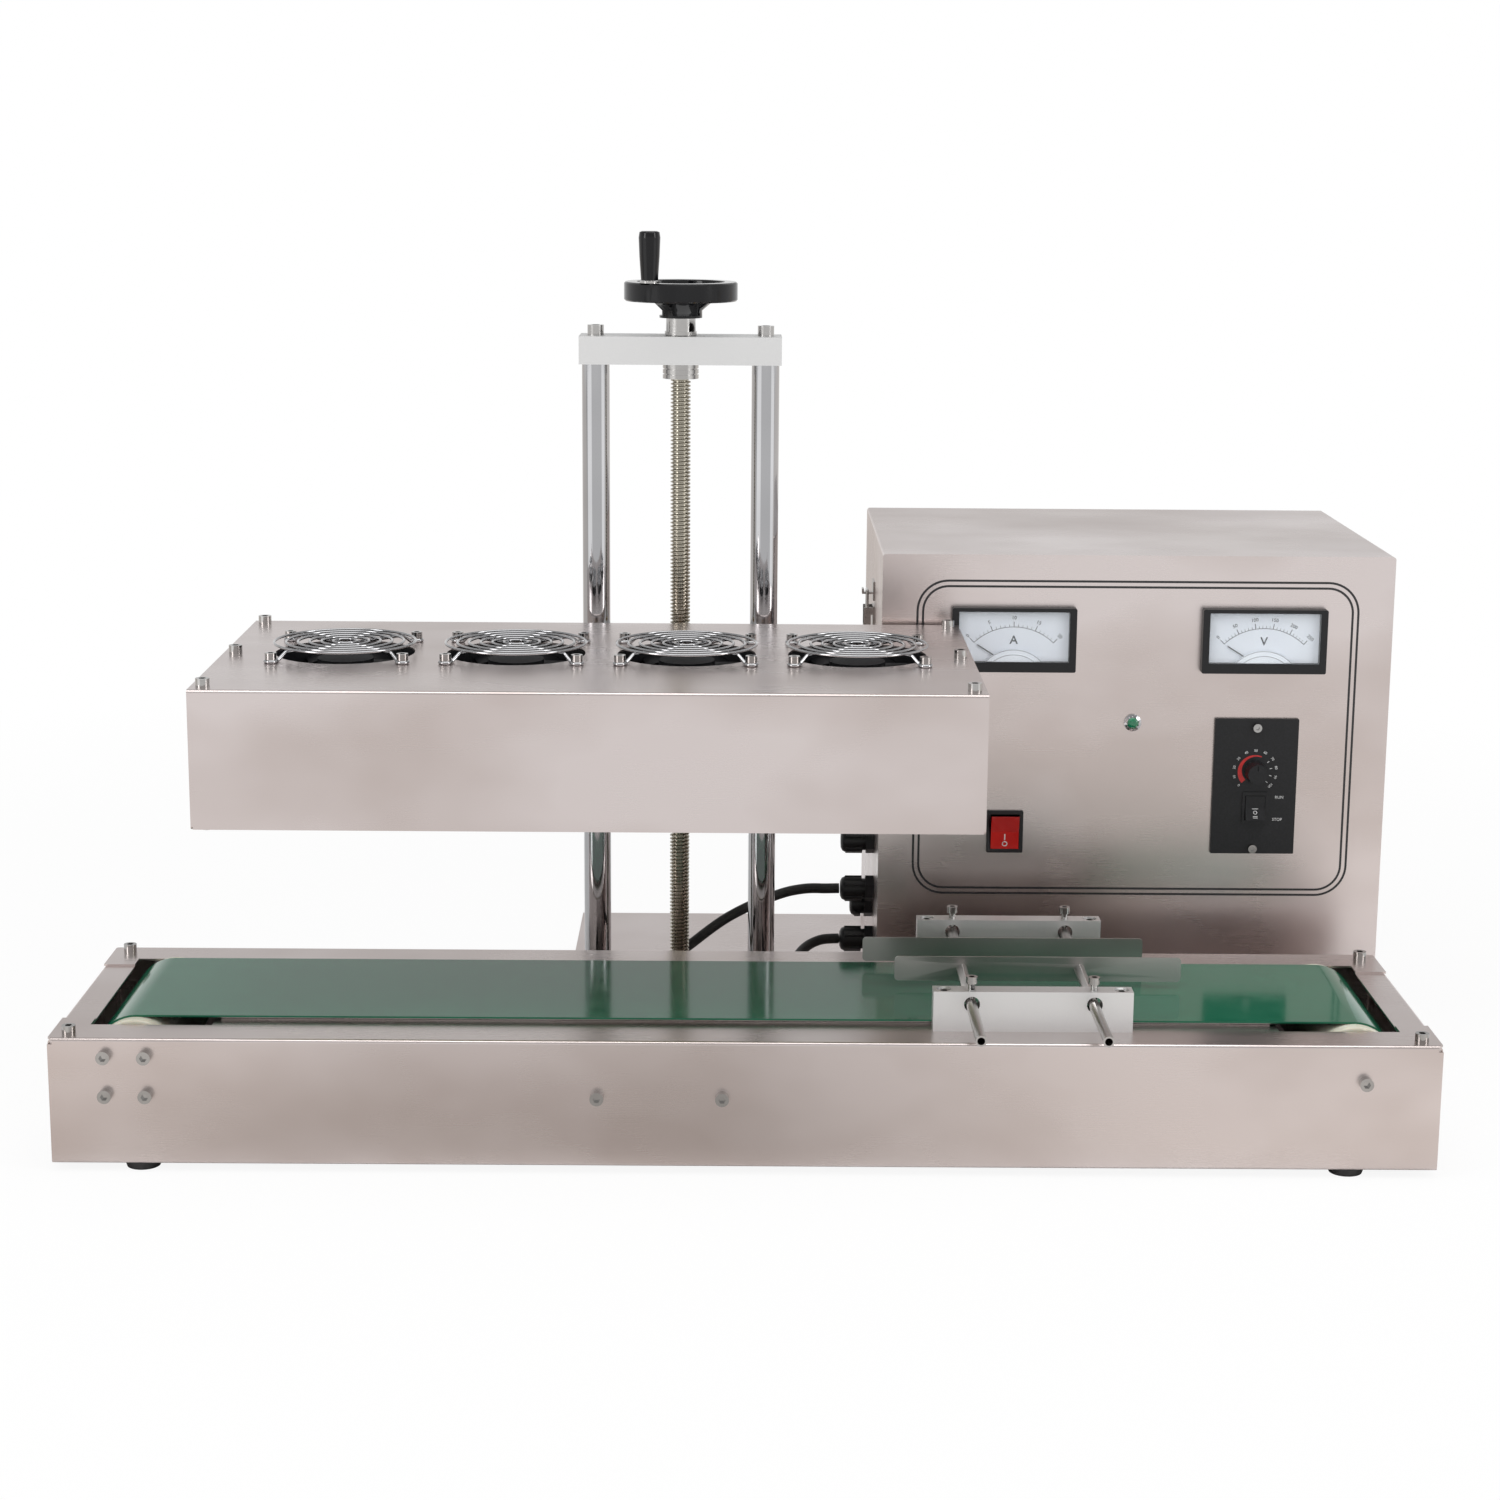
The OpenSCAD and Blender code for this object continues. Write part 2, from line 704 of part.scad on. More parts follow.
// Guide block: rod bores, sunk screw holes, clamp holes from above
module guide_block() {
    difference() {
        translate([block_x - block_len / 2, 0, frame_top]) cube([block_len, block_w, block_h]);
        for (x = rod_x) {
            translate([x, -eps, frame_top + block_h - rod_bore_drop]) rotate([-90, 0, 0])
                cylinder(d = rod_bore_d, h = block_w + 2 * eps);
            translate([x, block_w / 2, frame_top + block_h - rod_bore_drop])
                cylinder(d = m5[0] + 2 * run_gap, h = rod_bore_drop + eps);
        }
        for (x = block_screw_x) {
            translate([x, block_w / 2, frame_top - eps])
                cylinder(d = m6[0] + 2 * run_gap, h = block_h + 2 * eps);
            translate([x, block_w / 2, frame_top + block_h - sink])
                cylinder(d = m6[1] + 1, h = sink + eps);
        }
    }
}

module guide_blocks() {
    color("#e2e2e4") for (y = block_y) translate([0, y, 0]) guide_block();
}

// Polished guide plate with its two welded rod tubes
module guide_rods(len) {
    for (x = rod_x) translate([x, 0, rod_z]) rotate([-90, 0, 0]) difference() {
        cylinder(d = rod_d, h = len);
        translate([0, 0, -eps]) cylinder(d = rod_inner_d, h = len + 2 * eps);
    }
}

plate_corner = 3;
plate_shift = 13;
rear_plate_shift = 9;
module guide_plate(x) {
    translate([x, plate_t, rod_z]) rotate([90, 0, 0]) linear_extrude(plate_t)
        round_plate([plate_len, plate_h], plate_corner);
}

module front_guide() {
    color("#c2c4c4") union() {
        translate([0, front_plate_y, 0]) guide_plate(block_x + plate_shift);
        translate([0, front_plate_y - front_rod_len, 0]) guide_rods(front_rod_len);
    }
}

module rear_guide() {
    color("#c2c4c4") union() {
        translate([0, rear_plate_y - plate_t, 0]) guide_plate(block_x - rear_plate_shift);
        translate([0, rear_plate_y, 0]) guide_rods(rear_rod_len);
    }
}

// Head cover: top, front and rear folded from one sheet
fan_centres = [for (i = [0:3]) [head_left + fan_first + i * fan_pitch, fan_y]];
head_screw_in = 14;
head_screw_y = [head_screw_in, head_depth / 2, head_depth - head_screw_in];
head_screw_x = [head_left + head_screw_inset, head_left + head_len - head_screw_inset];
carriage_share = 0.3;
carriage_screws = [for (sx = [-1, 1], sz = [-1, 1])
    [-lift_x + sx * carriage_w * carriage_share, carriage_z + carriage_h / 2
        + sz * carriage_h * carriage_share]];
module head_cover() {
    color("#c3bbb5") difference() {
        translate([head_left + sheet, 0, head_z]) along_x(head_len - 2 * sheet)
            difference() {
                translate([head_depth / 2, head_h / 2 - bend_r])
                    round_plate([head_depth, head_h + 2 * bend_r], bend_r);
                translate([head_depth / 2, head_h / 2 - bend_r - sheet])
                    round_plate([head_depth - 2 * sheet, head_h + 2 * bend_r], bend_r - sheet);
                translate([-eps, -4 * bend_r]) square([head_depth + 2 * eps, 4 * bend_r]);
            }
        for (c = fan_centres) {
            translate([c.x, c.y, head_top - 2 * sheet]) cylinder(d = fan_bore, h = 4 * sheet);
            for (sx = [-1, 1], sy = [-1, 1])
                translate([c.x + sx * fan_screw_pitch / 2, c.y + sy * fan_screw_pitch / 2,
                    head_top - 2 * sheet]) cylinder(d = m5[0] + hole_gap, h = 4 * sheet);
        }
        for (x = head_screw_x, y = head_screw_y) translate([x, y, head_top - 2 * sheet])
            cylinder(d = m6[0] + hole_gap, h = 4 * sheet);
        for (p = carriage_screws) translate([p.x, head_depth + eps, p.y]) rotate([90, 0, 0])
            cylinder(d = m6[0] + hole_gap, h = 4 * sheet);
        translate([head_gland_x, head_depth + eps, head_gland_z]) rotate([90, 0, 0])
            cylinder(d = gland_thread_d + hole_gap, h = 4 * sheet);
    }
}

// End plate: wall, flanges under the cover and over the base plate
module head_end() {
    corner = bend_r - sheet;
    difference() {
        union() {
            translate([head_left + sheet, 0, head_z + head_h / 2]) rotate([0, -90, 0])
                linear_extrude(sheet) translate([0, head_depth / 2])
                    round_plate([head_h, head_depth], bend_r);
            for (z = [head_z + base_t, head_top - 2 * sheet])
                translate([head_left + sheet, sheet + corner, z])
                    cube([head_flange, head_depth - 2 * sheet - 2 * corner, sheet]);
        }
        for (y = head_screw_y) translate([head_screw_x[0], y, head_z - eps])
            cylinder(d = m6[0] + hole_gap, h = head_h + 2 * eps);
    }
}

module head_ends() {
    color("#bdb5b0") {
        head_end();
        translate([2 * (head_left + head_len / 2), 0, 0]) mirror([1, 0, 0]) head_end();
    }
}

// Insulating base plate that carries the coil
base_gap = 0.3;
base_screw_x = [head_screw_x[0], head_left + head_len - head_screw_inset];
module head_base() {
    color("#d8d2c0") difference() {
        translate([head_left + sheet, sheet + base_gap, head_z])
            cube([head_len - 2 * sheet, head_depth - 2 * (sheet + base_gap), base_t]);
        for (x = base_screw_x, y = head_screw_y) translate([x, y, head_z - eps])
            cylinder(d = m6[0] + hole_gap, h = base_t + 2 * eps);
    }
}

// Screws of the head: cover, base plate, guards, carriage
base_screw_head = [5, 9, 2.5];
module head_screws() {
    color("#c8c6c2") {
        for (x = head_screw_x, y = head_screw_y) {
            translate([x, y, head_top]) cap_screw(m6, 3 * m6[2] / 2);
            translate([x, y, head_z]) mirror([0, 0, 1]) cap_screw(base_screw_head, base_t + 2 * sheet);
        }
        for (c = fan_centres, sx = [-1, 1], sy = [-1, 1])
            translate([c.x + sx * fan_screw_pitch / 2, c.y + sy * fan_screw_pitch / 2,
                head_top + spoke_wire]) cap_screw(m5, fan_flange + spoke_wire + sheet);
        for (p = carriage_screws) front_screw(p.x, head_depth - sheet, p.y, m6, 3 * m6[2]);
    }
}

// Fan frame: flanges, round duct and motor seat on four struts
fan_flange = 4;
strut_w = 5;
seat_t = 4;
module fan_frame() {
    duct_wall = 3;
    corner = 5;
    difference() {
        union() {
            for (z = [0, fan_t - fan_flange]) translate([0, 0, z]) linear_extrude(fan_flange)
                round_plate([fan_w, fan_w], corner);
            cylinder(d = fan_bore + 2 * duct_wall, h = fan_t);
        }
        translate([0, 0, -eps]) cylinder(d = fan_bore, h = fan_t + 2 * eps);
        for (sx = [-1, 1], sy = [-1, 1])
            translate([sx * fan_screw_pitch / 2, sy * fan_screw_pitch / 2, -eps])
                cylinder(d = m5[0] + 2 * run_gap, h = fan_t + 2 * eps);
    }
    cylinder(d = fan_hub_d, h = seat_t);
    for (a = [45, 135]) rotate(a)
        translate([-fan_bore / 2 - duct_wall / 2, -strut_w / 2, 0])
            cube([fan_bore + duct_wall, strut_w, seat_t]);
}

module fan_frames() {
    color("#202124") for (c = fan_centres)
        translate([c.x, c.y, head_top - sheet - fan_t]) fan_frame();
}

// Fan rotor: hub cap and cambered blades
tip_gap = 1.5;
blade_t = 1.4;
blade_camber = 26;
blade_tilt = 34;
blade_root = 3;
rotor_h = 18;
module fan_rotor(i) {
    z0 = head_top - sheet - fan_t + seat_t + air_gap;
    r1 = fan_bore / 2 - tip_gap;
    c = fan_centres[i];
    color("#17181a") translate([c.x, c.y, z0]) union() {
        cylinder(d = fan_hub_d, h = rotor_h);
        intersection() {
            cylinder(r = r1, h = rotor_h);
            for (k = [0:blade_count - 1]) rotate(k * 360 / blade_count)
                translate([fan_hub_d / 2 - blade_root, 0, rotor_h / 2]) rotate([blade_tilt, 0, 0])
                    rotate([90, 0, 90]) linear_extrude(r1) blade_section();
        }
    }
}

// Upper part of a ring, its crown at zero
module blade_section() {
    crown_share = 0.5;
    translate([0, -blade_camber]) difference() {
        circle(blade_camber);
        circle(blade_camber - blade_t);
        translate([-2 * blade_camber, -2 * blade_camber])
            square([4 * blade_camber, (2 + crown_share) * blade_camber]);
    }
}

module fan_rotor_1() { fan_rotor(0); }
module fan_rotor_2() { fan_rotor(1); }
module fan_rotor_3() { fan_rotor(2); }
module fan_rotor_4() { fan_rotor(3); }

// Wire guard: rings welded on four spokes that end in screw eyes
ring_count = 6;
ring_weld = 0.3;
eye_weld = 0.9;
eye_inner = 5.4;
spoke_start = 0.3;
spoke_slope = 7;
spoke_foot = 6.5;
module fan_guard() {
    high = spoke_wire / 2 + guard_rise;
    low = spoke_wire / 2;
    ring_z = high + spoke_wire / 2 + guard_wire / 2 - ring_weld;
    eye_r = (eye_inner + spoke_wire) / 2;
    eye_x = fan_screw_pitch * sqrt(2) / 2;
    low_x = eye_x - spoke_foot;
    high_x = low_x - spoke_slope;
    for (i = [0:ring_count - 1]) translate([0, 0, ring_z])
        rotate_extrude() translate([guard_r - i * guard_step, 0]) circle(d = guard_wire);
    for (a = [45:90:315]) rotate(a) {
        translate([spoke_start, 0, high]) rotate([0, 90, 0])
            cylinder(d = spoke_wire, h = high_x - spoke_start);
        translate([high_x, 0, high]) sphere(d = spoke_wire);
        translate([high_x, 0, high]) rotate([0, 90 + atan2(guard_rise, spoke_slope), 0])
            cylinder(d = spoke_wire, h = norm([spoke_slope, guard_rise]));
        translate([low_x, 0, low]) sphere(d = spoke_wire);
        translate([low_x, 0, low]) rotate([0, 90, 0])
            cylinder(d = spoke_wire, h = spoke_foot - eye_r + eye_weld);
        translate([eye_x, 0, low]) rotate_extrude() translate([eye_r, 0]) circle(d = spoke_wire);
    }
}

module fan_guards() {
    color("#d2d2d0") for (c = fan_centres) translate([c.x, c.y, head_top]) fan_guard();
}

// Racetrack winding with ferrite bars across it
coil_len = 470;
coil_w = 130;
coil_h = 9;
coil_band = 34;
ferrite_w = 16;
ferrite_h = 12;
ferrite_len = 150;
ferrite_count = 7;
module racetrack(len, w) {
    square([len - w, w], center = true);
    for (s = [-1, 1]) translate([s * (len - w) / 2, 0]) circle(d = w);
}

module induction_coil() {
    z0 = head_z + base_t;
    color("#b87345") translate([-head_x, head_depth / 2, z0]) linear_extrude(coil_h) difference() {
        racetrack(coil_len, coil_w);
        racetrack(coil_len - 2 * coil_band, coil_w - 2 * coil_band);
    }
    color("#3b3b3d") for (i = [0:ferrite_count - 1])
        translate([-head_x + (i - (ferrite_count - 1) / 2) * coil_len / ferrite_count,
            head_depth / 2, z0 + coil_h])
            translate([-ferrite_w / 2, -ferrite_len / 2, 0]) cube([ferrite_w, ferrite_len, ferrite_h]);
}

// Cable gland on a wall at zero, pointing up: thread, hexagon, dome nut
gland_thread_d = 15;
gland_hex = 22.6;
gland_d = 20.5;
gland_hex_h = 7;
gland_neck_h = 3;
gland_nut_h = 18;
gland_hole = 9.2;
gland_inner_h = 8;
module gland(nut_h) {
    z1 = gland_hex_h + gland_neck_h;
    round = 4;
    difference() {
        union() {
            translate([0, 0, -gland_inner_h]) cylinder(d = gland_thread_d, h = gland_inner_h + eps);
            cylinder(d = gland_hex, h = gland_hex_h, $fn = 6);
            cylinder(d = gland_thread_d + 2, h = z1 + eps);
            translate([0, 0, z1]) rotate_extrude() polygon([
                [0, 0], [gland_d / 2, 0], [gland_d / 2, nut_h - round],
                [gland_d / 2 - round / 3, nut_h - round / 3],
                [gland_d / 2 - round, nut_h], [0, nut_h]
            ]);
            for (i = [0:5]) rotate(i * 60) translate([gland_d / 2, 0, z1])
                cylinder(d = 2, h = nut_h - round, $fn = 16);
        }
        translate([0, 0, -gland_inner_h - eps])
            cylinder(d = gland_hole, h = nut_h + z1 + gland_inner_h + 2 * eps);
    }
}

// Glands in the cabinet's left side (Y from its front, Z) and in the rear panel
gland_places = [[72, 156], [72, 114], [90, 96], [72, 70]];
gland_nut_lens = [gland_nut_h, gland_nut_h, gland_nut_h / 2, gland_nut_h];
lead_gland_x = [-131, 36];
lead_gland_z = 62;
module cable_glands() {
    color("#1c1c1e") {
        for (i = [0:3]) translate([cab_x, cab_y + gland_places[i].x, gland_places[i].y])
            rotate([0, -90, 0]) gland(gland_nut_lens[i]);
        for (x = lead_gland_x) translate([x, frame_depth, lead_gland_z])
            rotate([-90, 0, 0]) gland(gland_nut_h / 2);
    }
}

head_gland_x = 60;
head_gland_up = 30;
head_gland_z = head_z + head_gland_up;
module head_gland() {
    color("#1c1c1e") translate([head_gland_x, head_depth, head_gland_z])
        rotate([-90, 0, 0]) gland(gland_nut_h);
}

// Carriage behind the head, bored for the bushes and the nut
nut_d = 28;
module lift_carriage() {
    color("#d9d9da") difference() {
        translate([-lift_x - carriage_w / 2, head_depth, carriage_z])
            cube([carriage_w, carriage_d, carriage_h]);
        for (s = [-1, 1]) translate([-lift_x + s * column_pitch / 2, lift_y, carriage_z - eps])
            cylinder(d = bush_d + 2 * run_gap, h = carriage_h + 2 * eps);
        translate([-lift_x, lift_y, carriage_z - eps])
            cylinder(d = nut_d + 2 * run_gap, h = carriage_h + 2 * eps);
        for (p = carriage_screws) translate([p.x, head_depth - eps, p.y]) rotate([-90, 0, 0])
            cylinder(d = m6[0] + 2 * run_gap, h = 4 * m6[2]);
    }
}

// Column bushes and the flanged lead screw nut
nut_flange_d = 42;
nut_flange_h = 6;
module carriage_bushings() {
    color("#b7995a") {
        for (s = [-1, 1]) translate([-lift_x + s * column_pitch / 2, lift_y, carriage_z])
            difference() {
                cylinder(d = bush_d, h = carriage_h);
                translate([0, 0, -eps]) cylinder(d = column_d + 2 * run_gap, h = carriage_h + 2 * eps);
            }
        translate([-lift_x, lift_y, carriage_z]) difference() {
            union() {
                cylinder(d = nut_d, h = carriage_h);
                translate([0, 0, -nut_flange_h]) cylinder(d = nut_flange_d, h = nut_flange_h);
            }
            translate([0, 0, -nut_flange_h - eps])
                cylinder(d = screw_d + 4 * run_gap, h = carriage_h + nut_flange_h + 2 * eps);
        }
    }
}

// Two chromed columns between the crossbars
column_tap = 22;
column_z = tray_top + bar_h;
module lift_columns() {
    len = bar_z - column_z;
    color("#cfd0d0") for (s = [-1, 1])
        translate([-lift_x + s * column_pitch / 2, lift_y, column_z]) difference() {
            cylinder(d = column_d, h = len);
            for (z = [-eps, len - column_tap]) translate([0, 0, z])
                cylinder(d = m8[0] + hole_gap, h = column_tap + eps);
        }
}

module crossbar(z) {
    difference() {
        translate([-lift_x - bar_len / 2, lift_y - bar_d / 2, z]) cube([bar_len, bar_d, bar_h]);
        for (s = [-1, 1]) translate([-lift_x + s * column_pitch / 2, lift_y, z - eps])
            cylinder(d = m8[0] + hole_gap, h = bar_h + 2 * eps);
        translate([-lift_x, lift_y, z == bar_z ? z - eps : z + bar_h / 4])
            cylinder(d = journal_d + 2 * run_gap, h = bar_h + 2 * eps);
    }
}

module lift_crossbars() {
    color("#dcdcde") {
        crossbar(bar_z);
        crossbar(tray_top);
    }
}

// Lead screw with its journals
lower_journal = column_z - bar_h / 2;
module lead_screw() {
    top = rim_z + hub_rise;
    color("#b3a78c") translate([-lift_x, lift_y, 0]) union() {
        translate([0, 0, column_z + air_gap])
            cylinder(d = screw_d, h = bar_z - lock_h - air_gap - column_z - air_gap);
        translate([0, 0, lower_journal]) cylinder(d = journal_d, h = bar_h);
        translate([0, 0, bar_z - lock_h - 2 * eps])
            cylinder(d = journal_d, h = top - bar_z + lock_h + 2 * eps);
    }
}

// Lock rings under the crossbar, bearing ring and sleeve above it, spindle
spindle_d = 6;
spindle_head = 2;
washer_h = 1.6;
bearing_ring_h = 3;
module screw_hardware() {
    groove = 1;
    z0 = bar_z - lock_h - air_gap;
    third = (lock_h - 2 * groove) / 3;
    r0 = journal_d / 2 + run_gap;
    r1 = lock_d / 2;
    color("#cacaca") translate([-lift_x, lift_y, 0]) {
        translate([0, 0, z0]) rotate_extrude() polygon([
            [r0, 0], [r1, 0], [r1, third], [r1 - groove, third], [r1 - groove, third + groove],
            [r1, third + groove], [r1, 2 * third + groove], [r1 - groove, 2 * third + groove],
            [r1 - groove, 2 * third + 2 * groove], [r1, 2 * third + 2 * groove],
            [r1, lock_h], [r0, lock_h]
        ]);
        translate([0, 0, bar_top + air_gap]) rotate_extrude() polygon([
            [r0, 0], [sleeve_d / 2 + groove, 0], [sleeve_d / 2 + groove, bearing_ring_h],
            [sleeve_d / 2, bearing_ring_h], [sleeve_d / 2, sleeve_h - air_gap],
            [r0, sleeve_h - air_gap]
        ]);
        rotate(grip_angle) translate([grip_r, 0, rim_z + rim_h]) union() {
            cylinder(d = grip_d0 + 2, h = washer_h);
            cylinder(d = spindle_d, h = washer_h + grip_h - spindle_head);
            translate([0, 0, -rim_h / 2]) cylinder(d = spindle_d, h = rim_h / 2 + eps);
        }
    }
}

// Handwheel: hub flange, cone, web with three windows, flat rim
hub_rise = 4;
hub_top_d = 26;
web_t = 5;
window_span = 84;
module handwheel() {
    r = wheel_d / 2;
    z1 = hub_flange_h;
    z2 = hub_flange_h + cone_h;
    edge = 1.2;
    window_r = (hub_top_d / 2 + r - rim_t) / 2;
    window_t = r - rim_t - hub_top_d / 2 - 4;
    color("#141416") translate([-lift_x, lift_y, wheel_z]) difference() {
        rotate_extrude($fn = 96) polygon([
            [journal_d / 2 + run_gap, 0], [hub_d / 2, 0], [hub_d / 2, z1],
            [hub_d / 2 + cone_h, z2 - edge], [r - edge, z2],
            [r, z2 + edge], [r, z2 + rim_h - edge], [r - edge, z2 + rim_h],
            [r - rim_t + edge, z2 + rim_h], [r - rim_t, z2 + rim_h - edge],
            [r - rim_t, z2 + web_t], [hub_top_d / 2 + 2 * edge, z2 + web_t],
            [hub_top_d / 2, z2 + web_t + edge], [hub_top_d / 2, z2 + web_t + hub_rise],
            [journal_d / 2 + run_gap, z2 + web_t + hub_rise]
        ]);
        for (k = [0:2]) rotate(k * 120 + grip_angle + (120 - window_span) / 2)
            translate([0, 0, -eps]) rotate_extrude(angle = window_span)
                translate([window_r, z1 + cone_h / 2 + web_t + eps])
                    square([window_t, 2 * (cone_h + web_t)], center = true);
        rotate(grip_angle) translate([grip_r, 0, z2 + rim_h / 2 - air_gap])
            cylinder(d = spindle_d + 2 * run_gap, h = rim_h);
    }
}

// Tapered grip that turns on its spindle
module wheel_grip() {
    z0 = rim_z + rim_h + washer_h + air_gap;
    round = 2.5;
    bore_r = spindle_d / 2 + run_gap;
    color("#161618") translate([-lift_x, lift_y, z0]) rotate(grip_angle)
        translate([grip_r, 0, 0]) rotate_extrude() polygon([
            [bore_r, 0], [grip_d0 / 2, 0], [grip_d0 / 2 + round / 2, grip_h / 2],
            [grip_d1 / 2, grip_h - 2 * round], [grip_d1 / 2 - round / 4, grip_h - round / 3],
            [grip_d1 / 2 - round, grip_h], [0, grip_h], [0, grip_h - spindle_head],
            [bore_r, grip_h - spindle_head]
        ]);
}

// Cabinet shell below the lid, with cut-outs for its fittings
side_top = cab_top - lid_skirt;
meter_in = [105.8, 307];
meter_x = [cab_x + meter_in[0], cab_x + meter_in[1]];
power_in = 102.9;
power_x = cab_x + power_in;
power_z = 181.8;
speed_in = 304.7;
speed_x = cab_x + speed_in;
speed_z = 221;
lamp_in = 204.2;
lamp_x = cab_x + lamp_in;
lamp_z = 272.8;
lamp_d = 14;
vent_rows = 9;
vent_w = 90;
vent_h = 5;
vent_pitch = 14;
meter_body_d = 44;
lamp_body_d = 10;
module cabinet_body() {
    color("#bdb5af") difference() {
        translate([cab_x, cab_y, tray_top]) cube([cab_w, cab_d, cab_h - lid_front]);
        translate([cab_x + sheet, cab_y + sheet, tray_top + sheet])
            cube([cab_w - 2 * sheet, cab_d - 2 * sheet, cab_h]);
        translate([cab_x - eps, cab_y + sheet + eps, side_top])
            cube([cab_w + 2 * eps, cab_d, lid_skirt + eps]);
        for (x = meter_x) translate([x, cab_y - eps, meter_z - meter_drop]) rotate([-90, 0, 0])
            cylinder(d = meter_body_d + hole_gap, h = 4 * sheet);
        translate([lamp_x, cab_y - eps, lamp_z]) rotate([-90, 0, 0])
            cylinder(d = lamp_body_d + hole_gap, h = 4 * sheet);
        translate([power_x - power_cut.x / 2, cab_y - eps, power_z - power_cut.y / 2])
            cube([power_cut.x, 4 * sheet, power_cut.y]);
        translate([speed_x - speed_cut.x / 2, cab_y - eps, speed_z - speed_cut.y / 2])
            cube([speed_cut.x, 4 * sheet, speed_cut.y]);
        for (z = speed_screw_z) translate([speed_x, cab_y - eps, z]) rotate([-90, 0, 0])
            cylinder(d = m4[0] + hole_gap, h = 4 * sheet);
        for (g = gland_places) translate([cab_x - eps, cab_y + g.x, g.y]) rotate([0, 90, 0])
            cylinder(d = gland_thread_d + hole_gap, h = 4 * sheet);
        for (k = [0:1], i = [0:vent_rows - 1])
            translate([cab_x + cab_w / 4 + k * cab_w / 2, tray_back + eps,
                vent_z + i * vent_pitch]) rotate([90, 0, 0]) linear_extrude(4 * sheet)
                    round_plate([vent_w, vent_h], vent_h / 2 - run_gap);
        translate([inlet_x - inlet_cut.x / 2, tray_back - 2 * sheet, inlet_z - inlet_cut.y / 2])
            cube([inlet_cut.x, 4 * sheet, inlet_cut.y]);
    }
}
vent_up = 110;
vent_z = tray_top + vent_up;
power_cut = [24, 30];
speed_cut = [52, 84];
speed_screw_up = [-51.5, 49];
speed_screw_z = [for (u = speed_screw_up) speed_z + u];
meter_drop = 2;

// Lid: top plate with deep skirts at the sides and the back
module cabinet_lid() {
    color("#c6bfba") difference() {
        translate([cab_x + cab_w / 2, tray_back, side_top + lid_skirt / 2])
            rotate([90, 0, 0]) linear_extrude(cab_d)
                lid_section();
        translate([cab_x + sheet, cab_y + sheet, side_top - eps])
            cube([cab_w - 2 * sheet, cab_d - 2 * sheet, lid_skirt - sheet + eps]);
        translate([cab_x - eps, cab_y - eps, side_top - eps])
            cube([cab_w + 2 * eps, sheet + 2 * eps, lid_skirt - lid_front + eps]);
    }
}

// Outline of the lid across the machine, with round upper edges
module lid_section() {
    translate([0, -bend_r]) intersection() {
        round_plate([cab_w, lid_skirt + 2 * bend_r], bend_r);
        translate([0, 2 * bend_r]) square([cab_w, lid_skirt + 2 * bend_r], center = true);
    }
}

// Panel meter: front flange with a sunk window, round body behind
flange_t = 9;
window_sink = 5;
window_rise = 2.5;
meter_corner = 1.5;
meter_body_len = 30;
module meter_housing(x) {
    translate([x, cab_y, meter_z]) difference() {
        union() {
            rotate([90, 0, 0]) linear_extrude(flange_t) round_plate([meter_w, meter_h], meter_corner);
            translate([0, -eps, -meter_drop]) rotate([-90, 0, 0])
                cylinder(d = meter_body_d, h = meter_body_len);
        }
        translate([-window_w / 2, -flange_t - eps, -window_h / 2 + window_rise])
            cube([window_w, window_sink + eps, window_h]);
        translate([-needle_slot_w / 2, -flange_t + window_sink - needle_slot_t,
            needle_drop - needle_pin_d / 2 - 2 * air_gap])
            cube([needle_slot_w, needle_slot_t, meter_h / 2]);
        translate([0, -flange_t + window_sink - 2 * eps, needle_drop]) rotate([-90, 0, 0])
            cylinder(d = needle_pin_d + 2 * run_gap, h = needle_pin_len);
    }
}

module meter_housings() {
    color("#1d1e20") for (x = meter_x) meter_housing(x);
}

// Needle on a short pin, pointing up at the middle of its scale
needle_drop = -22.5;
needle_pin_d = 3;
needle_pin_len = 5;
needle_len = 34.5;
needle_w = 0.9;
needle_t = 0.5;
needle_rest = 58;
needle_slot_w = 31;
needle_slot_t = 2.4;
module needle(x) {
    face = cab_y - flange_t + window_sink;
    color("#1a1a1a") translate([x, face, meter_z + needle_drop]) rotate([0, -needle_rest, 0])
        union() {
            translate([0, -2 * needle_t - air_gap, 0]) rotate([-90, 0, 0])
                cylinder(d = needle_pin_d, h = needle_pin_len / 2);
            translate([-needle_w / 2, -2 * needle_t - air_gap, 0])
                cube([needle_w, needle_t, needle_len]);
        }
}

module ammeter_needle() { needle(meter_x[0]); }
module voltmeter_needle() { needle(meter_x[1]); }

// Indicator lamp: chromed bezel and green lens
bezel_h = 3;
lamp_body_len = 20;
lens_rise = 2;
lens_d = 9;
module lamp_bezel() {
    color("#d0d0ce") translate([lamp_x, cab_y, lamp_z]) rotate([90, 0, 0]) difference() {
        union() {
            rotate_extrude() polygon([
                [0, 0], [lamp_d / 2, 0], [lamp_d / 2, bezel_h / 2],
                [lens_d / 2 + run_gap, bezel_h], [0, bezel_h]
            ]);
            translate([0, 0, -lamp_body_len])
                cylinder(d = lamp_body_d, h = lamp_body_len + eps);
        }
        translate([0, 0, -eps]) cylinder(d = lens_d + 2 * run_gap, h = bezel_h + 2 * eps);
    }
}

module lamp_lens() {
    color("#0f7a45") translate([lamp_x, cab_y, lamp_z]) rotate([90, 0, 0]) rotate_extrude()
        polygon([
            [0, -eps + air_gap / 4], [lens_d / 2, -eps + air_gap / 4], [lens_d / 2, bezel_h],
            [lens_d / 2 - lens_rise / 3, bezel_h + lens_rise / 2],
            [lens_d / 4, bezel_h + lens_rise - air_gap / 2], [0, bezel_h + lens_rise]
        ]);
}

